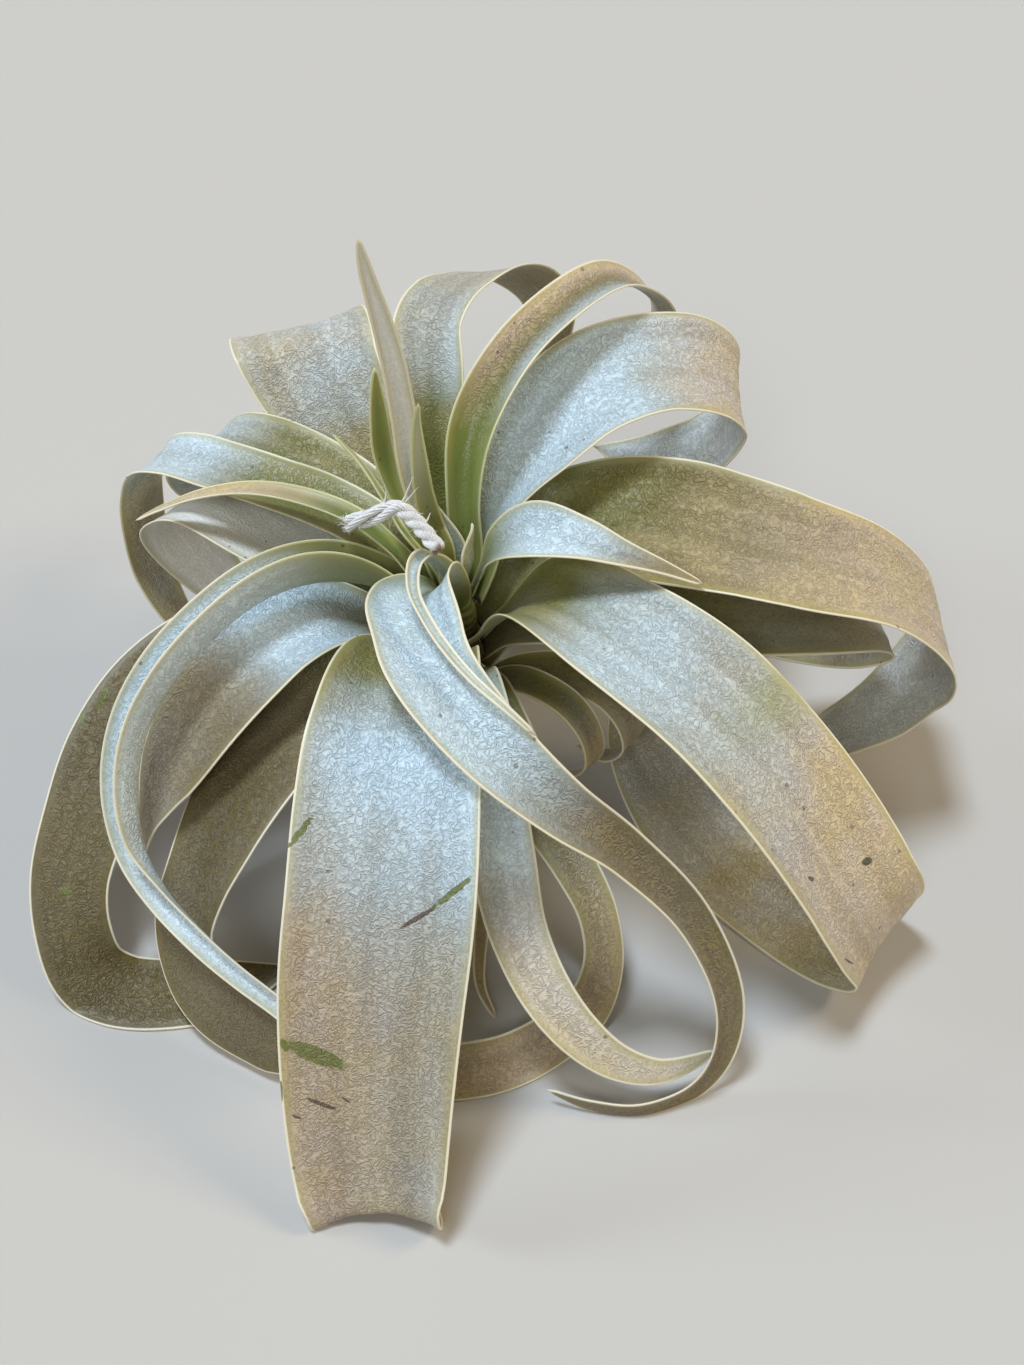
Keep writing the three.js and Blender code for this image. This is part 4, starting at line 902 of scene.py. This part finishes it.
    bitten = add(tree, "ShaderNodeTexNoise", {"Vector": flat_place, "Scale": 0.6, "Detail": 3.0})
    bitten = add(tree, real, [bitten, 0.5], operation="SUBTRACT")
    for run_mm, across_mm, long_mm, wide_mm, turn, code, ragged, soft in scuffs:
        spot = add(tree, vector, [flat_place, (across_mm, run_mm, 0)], operation="SUBTRACT")
        spot = add(tree, "ShaderNodeVectorRotate", {"Vector": spot, "Angle": math.radians(-turn)},
                   rotation_type="Z_AXIS")
        spot = add(tree, vector, [spot, (2 / long_mm, 2 / wide_mm, 0)], operation="MULTIPLY")
        off = add(tree, vector, [spot], out=1, operation="LENGTH")
        off = add(tree, real, [bitten, ragged, off], operation="MULTIPLY_ADD")
        hit = add(tree, "ShaderNodeMapRange", {"Value": off, "From Min": 0.85 - soft, "From Max": 1.05,
                                               "To Min": SCUFF_COVER - 0.5 * soft, "To Max": 0.0})
        hit = add(tree, real, [hit, told["upper"]], operation="MULTIPLY")
        skin = mixed(hit, skin, code)

    smooth = add(tree, "ShaderNodeMapRange", {"Value": told["inset"], "From Min": 0.5 * STRIP_WIDTH,
                                              "From Max": 1.5 * STRIP_WIDTH})
    rise = add(tree, real, [mottle, 1.5, felt], operation="MULTIPLY_ADD")
    rise = add(tree, real, [rise, smooth], operation="MULTIPLY")
    rise = add(tree, real, [rise, covered], operation="MULTIPLY")
    rise = add(tree, "ShaderNodeBump", {"Height": rise, "Distance": FELT_RELIEF * MM, "Strength": 0.8})
    rise = add(tree, "ShaderNodeBump",
               {"Height": broad, "Distance": LINE_RELIEF * MM, "Strength": 0.6, "Normal": rise})
    rough = add(tree, real, [mottle, 0.25, SKIN_ROUGHNESS], operation="MULTIPLY_ADD")
    rough = add(tree, real, [told["leafy"], -GREEN_GLOSS, rough], operation="MULTIPLY_ADD")
    surface = add(tree, "ShaderNodeBsdfPrincipled",
                  {"Base Color": skin, "Roughness": rough, "Normal": rise, "Sheen Weight": 0.2,
                   "Sheen Roughness": 0.45, "Specular IOR Level": 0.65})
    add(tree, "ShaderNodeOutputMaterial", {"Surface": surface})
    return made


plain_skin = leaf_skin("leaf skin under silver scales")
scuffed_skins = {
    "front_broad": leaf_skin("leaf skin with a rubbed patch and scratches", [
        (175, -16, 20, 5.2, 19, SCUFF_GREEN, 0.5, 0), (172.5, -25.5, 4, 2.4, 60, SCUFF_GREEN, 0.5, 0),
        (131, 11.5, 13, 1.5, -36, SCUFF_BROWN, 0.8, 0), (123, 21.5, 15, 2.0, -40, SCUFF_GREEN, 1.3, 0),
        (109, -25.5, 14, 2.0, -57, SCUFF_GREEN, 1.6, 0), (189.5, -14, 10, 1.3, 20, SCUFF_BROWN, 1.4, 0),
        (188, -7, 3, 0.8, 30, SCUFF_BROWN, 0.3, 0), (193, -22, 3, 0.8, 20, SCUFF_BROWN, 0.3, 0),
        (186, -26.5, 7, 1.2, 90, SCUFF_GREEN, 0.4, 0),
    ]),
    "right_front": leaf_skin("leaf skin with brown marks", [
        (118, 21, 70, 26, 6, SCUFF_FRESH, 0.5, 0.7), (176, 7.5, 4.4, 2.8, 30, SCUFF_DARK, 0.6, 0),
        (163.5, -15, 3, 1.6, 60, SCUFF_BROWN, 0.8, 0),
        (193, -18, 6, 0.8, 70, SCUFF_BROWN, 0.5, 0), (19, -11.5, 9, 3, 10, SCUFF_BROWN, 1.4, 0),
    ]),
    "far_left": leaf_skin("leaf skin with green scuffs", [
        (113, -14, 9, 2.4, 70, SCUFF_GREEN, 1.2, 0), (121, -16, 5, 2, 60, SCUFF_GREEN, 0.9, 0),
        (174, -1, 4.5, 3, 0, SCUFF_GREEN, 0.5, 0),
    ]),
    "left_hoop": leaf_skin("leaf skin with a green scuff", [(169.5, 6, 10, 3, 85, SCUFF_GREEN, 1.0, 0)]),
}

# Each leaf's looks: how far its green base reaches in mm, how thick its frost is, from where to where it
# turns tan in mm, how strongly its blade is ridged and waved, how far it turns a dull olive brown with age
# and with painted shade or, below 0, pales towards white with bleaching and with painted light, how much
# thicker the frost is towards its left margin, seen from the crown, partly a painted highlight on that half,
# and how thick the frost is on its underside
LEAF_LOOKS = {
    "heart_bud": (4, 0.3, 200, 300, 0.1, 0, 0, 0.3),
    "heart_spike": (90, 0.45, 60, 120, 0.2, -0.3, 0, 0.5),
    "heart_needle": (90, 0.3, 60, 120, 0.2, -0.2, 0, 0.3),
    "front_slender": (24, 0.9, 90, 190, 0.3, 0, 0, 0.8),
    "upright_pale": (6, 0.6, 90, 200, 0.6, -1.0, 0, 0.6),
    "front_long": (24, 1.0, 88, 150, 1.0, 0.8, 0, 0.6),
    "upright_green": (110, 0.4, 120, 240, 0.4, 0, 0, 0.2),
    "back_channel": (64, 0.15, 110, 260, 0.8, 0, -1.4, 0.2),
    "left_narrow": (80, 0.3, 20, 90, 0.6, 0, 0, 0.5),
    "back_right": (30, 1.3, 80, 122, 1.2, 0, 0.1, 1.4),
    "left_hoop": (60, 0.9, 100, 700, 0.8, -0.15, 0, 1.3),
    "right_short": (28, 1.1, 50, 84, 0.8, 0.7, 0.1, 0.6),
    "back_blue": (78, 0.85, 50, 150, 1.0, 0.3, 0, 0.1),
    "right_front": (54, 0.85, 56, 165, 1.0, 0, -0.1, 0.3),
    "left_folded": (92, 1.0, 96, 170, 1.0, 0, 0, -0.1),
    "right_olive": (70, 0.0, 60, 170, 1.0, 0.08, 0, 1.6),
    "back_left_low": (100, 0.7, 120, 260, 1.0, 0.1, 0, 0.5),
    "front_broad": (70, 1.1, 74, 165, 1.2, 0.35, 0.3, 0.4),
    "back_left_broad": (88, 0.8, 30, 180, 1.0, 0, 0, 0.5),
    "left_front_blue": (36, 1.05, 62, 92, 1.0, 0.68, 0, 0.5),
    "left_broad": (66, 0.5, 40, 100, 1.0, -1.0, 0, 0.7),
    "right_low": (90, 0.12, 110, 180, 1.0, 0.1, 0, 0.4),
    "front_narrow": (40, 1.5, 76, 120, 0.8, -0.15, 0, 0.5),
    "left_dark": (60, 0.2, 30, 90, 1.0, 0.9, 0, 0.4),
    "back_low": (60, 0.4, 40, 100, 1.0, 0.5, 0, 0.4),
    "front_loop": (60, 0.2, 60, 120, 0.8, 0.2, 0, 0.5),
    "far_left": (60, 0, 30, 90, 1.0, 0.92, 0, 0),
    "back_left_under": (60, 0.3, 50, 120, 1.0, 0.4, 0, 0.4),
    "small_curl": (40, 0.3, 30, 80, 0.6, 0.1, 0, 0.4),
    "back_right_under": (60, 0.3, 50, 120, 1.0, 0.4, 0, 0.4),
    "right_dark": (50, 0.1, 30, 80, 0.6, 0.3, 0, 0.3),
    "front_thin": (40, 0.1, 30, 80, 0.5, 0.4, 0, 0.3),
}
GREEN_FADE = 20
TAN_COVER = 0.85
FRESH_ORDERS = (9, 21)
OLD_GREEN_LOSS = 0.8
BLEACH_AND_LIGHT_RUN = (10, 60)
PLEATING_RUN = (14, 40)
SMOOTH_TIP = 12
SEED_STEP = 3.7

for number, (name, looks) in enumerate(LEAF_LOOKS.items()):
    green_to, frosty, tan_from, tan_to, pleat, age_and_shade, lean, below = looks
    line = blade_line(name)
    run = line["run"] / MM
    green = 1 - smooth_step(green_to - GREEN_FADE, green_to + GREEN_FADE, run)
    fresh = 1 - OLD_GREEN_LOSS * smooth_step(*FRESH_ORDERS, LEAVES[name][0])
    tan = smooth_step(tan_from, tan_to, run)
    frost = frosty * (1 - green) * (1 - TAN_COVER * tan)
    blade_piece = line_object("blade_" + name, [line["place"]], {
        "side": line["side"], "face": line["face"], "half": line["half"], "cup": line["cup"],
        "run": line["run"], "leafy": green * fresh, "warm": tan, "frost": frost,
        # Age and painted shade follow the tan; a value below 0 pales the blade from its base with bleaching
        # and painted light
        "age_and_shade": age_and_shade * (tan if age_and_shade > 0 else smooth_step(*BLEACH_AND_LIGHT_RUN, run)), "lean": lean * (1 - green),
        "below": below + 0 * run,
        "pleat": pleat * smooth_step(*PLEATING_RUN, run) * smooth_step(0, SMOOTH_TIP, run[-1] - run),
    })
    columns = 2 * max(6, round(float(line["half"].max()) / MM / COLUMN_SPACING))
    grown(blade_piece, blade_tree, {
        "Rows": len(run), "Columns": columns, "Crease": float(LEAVES[name][2]), "Seed": SEED_STEP * number,
        "Material": scuffed_skins.get(name, plain_skin),
    })
    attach(blade_piece, "root")
    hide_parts("leaf_" + name)

# Stem. The short woody stem that the leaves are set round: fibrous, ringed where older leaves came away,
# and cut flat below.
BARK_DARK, BARK_PALE, BARK_RING, BARK_FRESH = "4d3a27", "94795a", "6f5a40", "6d7a40"
BARK_FIBRE = 1.2
BARK_FIBRE_STRETCH = 0.12
RING_SPACING = 9
BARK_RELIEF = 0.5
FRESH_HEIGHTS = (70, 84)
bark = bpy.data.materials.new("fibrous bark")
bark.use_nodes = True
bark.node_tree.nodes.clear()
place = add(bark.node_tree, "ShaderNodeTexCoord", out="Object")
stretched = add(bark.node_tree, "ShaderNodeMapping",
                {"Vector": place, "Scale": (1.0, 1.0, BARK_FIBRE_STRETCH)})
fibre = add(bark.node_tree, "ShaderNodeTexNoise",
            {"Vector": stretched, "Scale": 1 / (BARK_FIBRE * MM), "Detail": 4.0})
ringed = add(bark.node_tree, "ShaderNodeTexWave",
             {"Vector": place, "Scale": 1 / (RING_SPACING * MM), "Distortion": 2.0}, bands_direction="Z")
tone = add(bark.node_tree, "ShaderNodeMix", {0: fibre, 6: colour(BARK_DARK), 7: colour(BARK_PALE)},
           out=2, data_type="RGBA")
tone = add(bark.node_tree, "ShaderNodeMix", {0: ringed, 6: tone, 7: colour(BARK_RING)},
           out=2, data_type="RGBA")
height = add(bark.node_tree, "ShaderNodeSeparateXYZ", [place], out=2)
fresh = add(bark.node_tree, "ShaderNodeMapRange",
            {"Value": height, "From Min": FRESH_HEIGHTS[0] * MM, "From Max": FRESH_HEIGHTS[1] * MM})
tone = add(bark.node_tree, "ShaderNodeMix", {0: fresh, 6: tone, 7: colour(BARK_FRESH)},
           out=2, data_type="RGBA")
rise = add(bark.node_tree, real, [fibre, ringed], operation="ADD")
rise = add(bark.node_tree, "ShaderNodeBump", {"Height": rise, "Distance": BARK_RELIEF * MM, "Strength": 0.8})
skin = add(bark.node_tree, "ShaderNodeBsdfPrincipled", {"Base Color": tone, "Roughness": 0.9, "Normal": rise})
add(bark.node_tree, "ShaderNodeOutputMaterial", {"Surface": skin})
stem_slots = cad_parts["stem"].data.materials
if not stem_slots:
    stem_slots.append(bark)
for index in range(len(stem_slots)):
    stem_slots[index] = bark

# Setting. A plain pale floor under the plant, soft wide lights from above, from both sides and from the
# front, and a pale horizon under a darker, warm room.
FLOOR_REACH = 30.0
FLOOR_DROP = 0.0003
floor_mesh = bpy.data.meshes.new("floor")
corners = [(x * FLOOR_REACH, y * FLOOR_REACH, -FLOOR_DROP) for x, y in ((-1, -1), (1, -1), (1, 1), (-1, 1))]
floor_mesh.from_pydata(corners, [], [(0, 1, 2, 3)])
floor = bpy.data.objects.new("floor", floor_mesh)
bpy.context.scene.collection.objects.link(floor)
pale = bpy.data.materials.new("plain pale floor")
pale.use_nodes = True
pale.node_tree.nodes["Principled BSDF"].inputs["Base Color"].default_value = colour("c4c0b8")
pale.node_tree.nodes["Principled BSDF"].inputs["Roughness"].default_value = 0.9
floor_mesh.materials.append(pale)

# Each light: where it stands, its apparent width in degrees, its strength and its tint
LIGHTS = {
    "top": ((-0.35, 0.25, 1.8), 14, 2.4, "d8e9ff"),
    "left": ((-1.6, 0.3, 0.75), 16, 1.0, "dcebff"),
    "right": ((1.35, 0.3, 1.25), 19, 0.95, "ffeaca"),
    "front": ((-0.3, -1.2, 1.4), 19, 0.7, "e8f1ff"),
}
AIM = (0, 0, 0.07)
HORIZON_RISE = (0.12, 0.3)
ROOM_LOW, ROOM_HIGH = "c9c5bd", "706141"
for name, (place, width, strength, tint) in LIGHTS.items():
    lamp = bpy.data.lights.new(name, "SUN")
    lamp.angle = math.radians(width)
    lamp.energy = strength
    lamp.color = colour(tint)[:3]
    holder = bpy.data.objects.new(name, lamp)
    bpy.context.scene.collection.objects.link(holder)
    holder.location = place
    aim = np.array(AIM) - np.array(place)
    holder.rotation_euler = (math.atan2(math.hypot(aim[0], aim[1]), -aim[2]), 0,
                             math.atan2(aim[1], aim[0]) - math.pi / 2)
world = bpy.data.worlds.new("soft room")
world.use_nodes = True
room = world.node_tree
toward = add(room, "ShaderNodeTexCoord", out="Generated")
toward = add(room, "ShaderNodeSeparateXYZ", [toward], out=2)
toward = add(room, "ShaderNodeMapRange",
             {"Value": toward, "From Min": HORIZON_RISE[0], "From Max": HORIZON_RISE[1]})
toward = add(room, "ShaderNodeMix", {0: toward, 6: colour(ROOM_LOW), 7: colour(ROOM_HIGH)},
             out=2, data_type="RGBA")
room.links.new(toward, room.nodes["Background"].inputs["Color"])
room.nodes["Background"].inputs["Strength"].default_value = 1.0
bpy.context.scene.world = world
bpy.context.scene.view_settings.view_transform = "Standard"
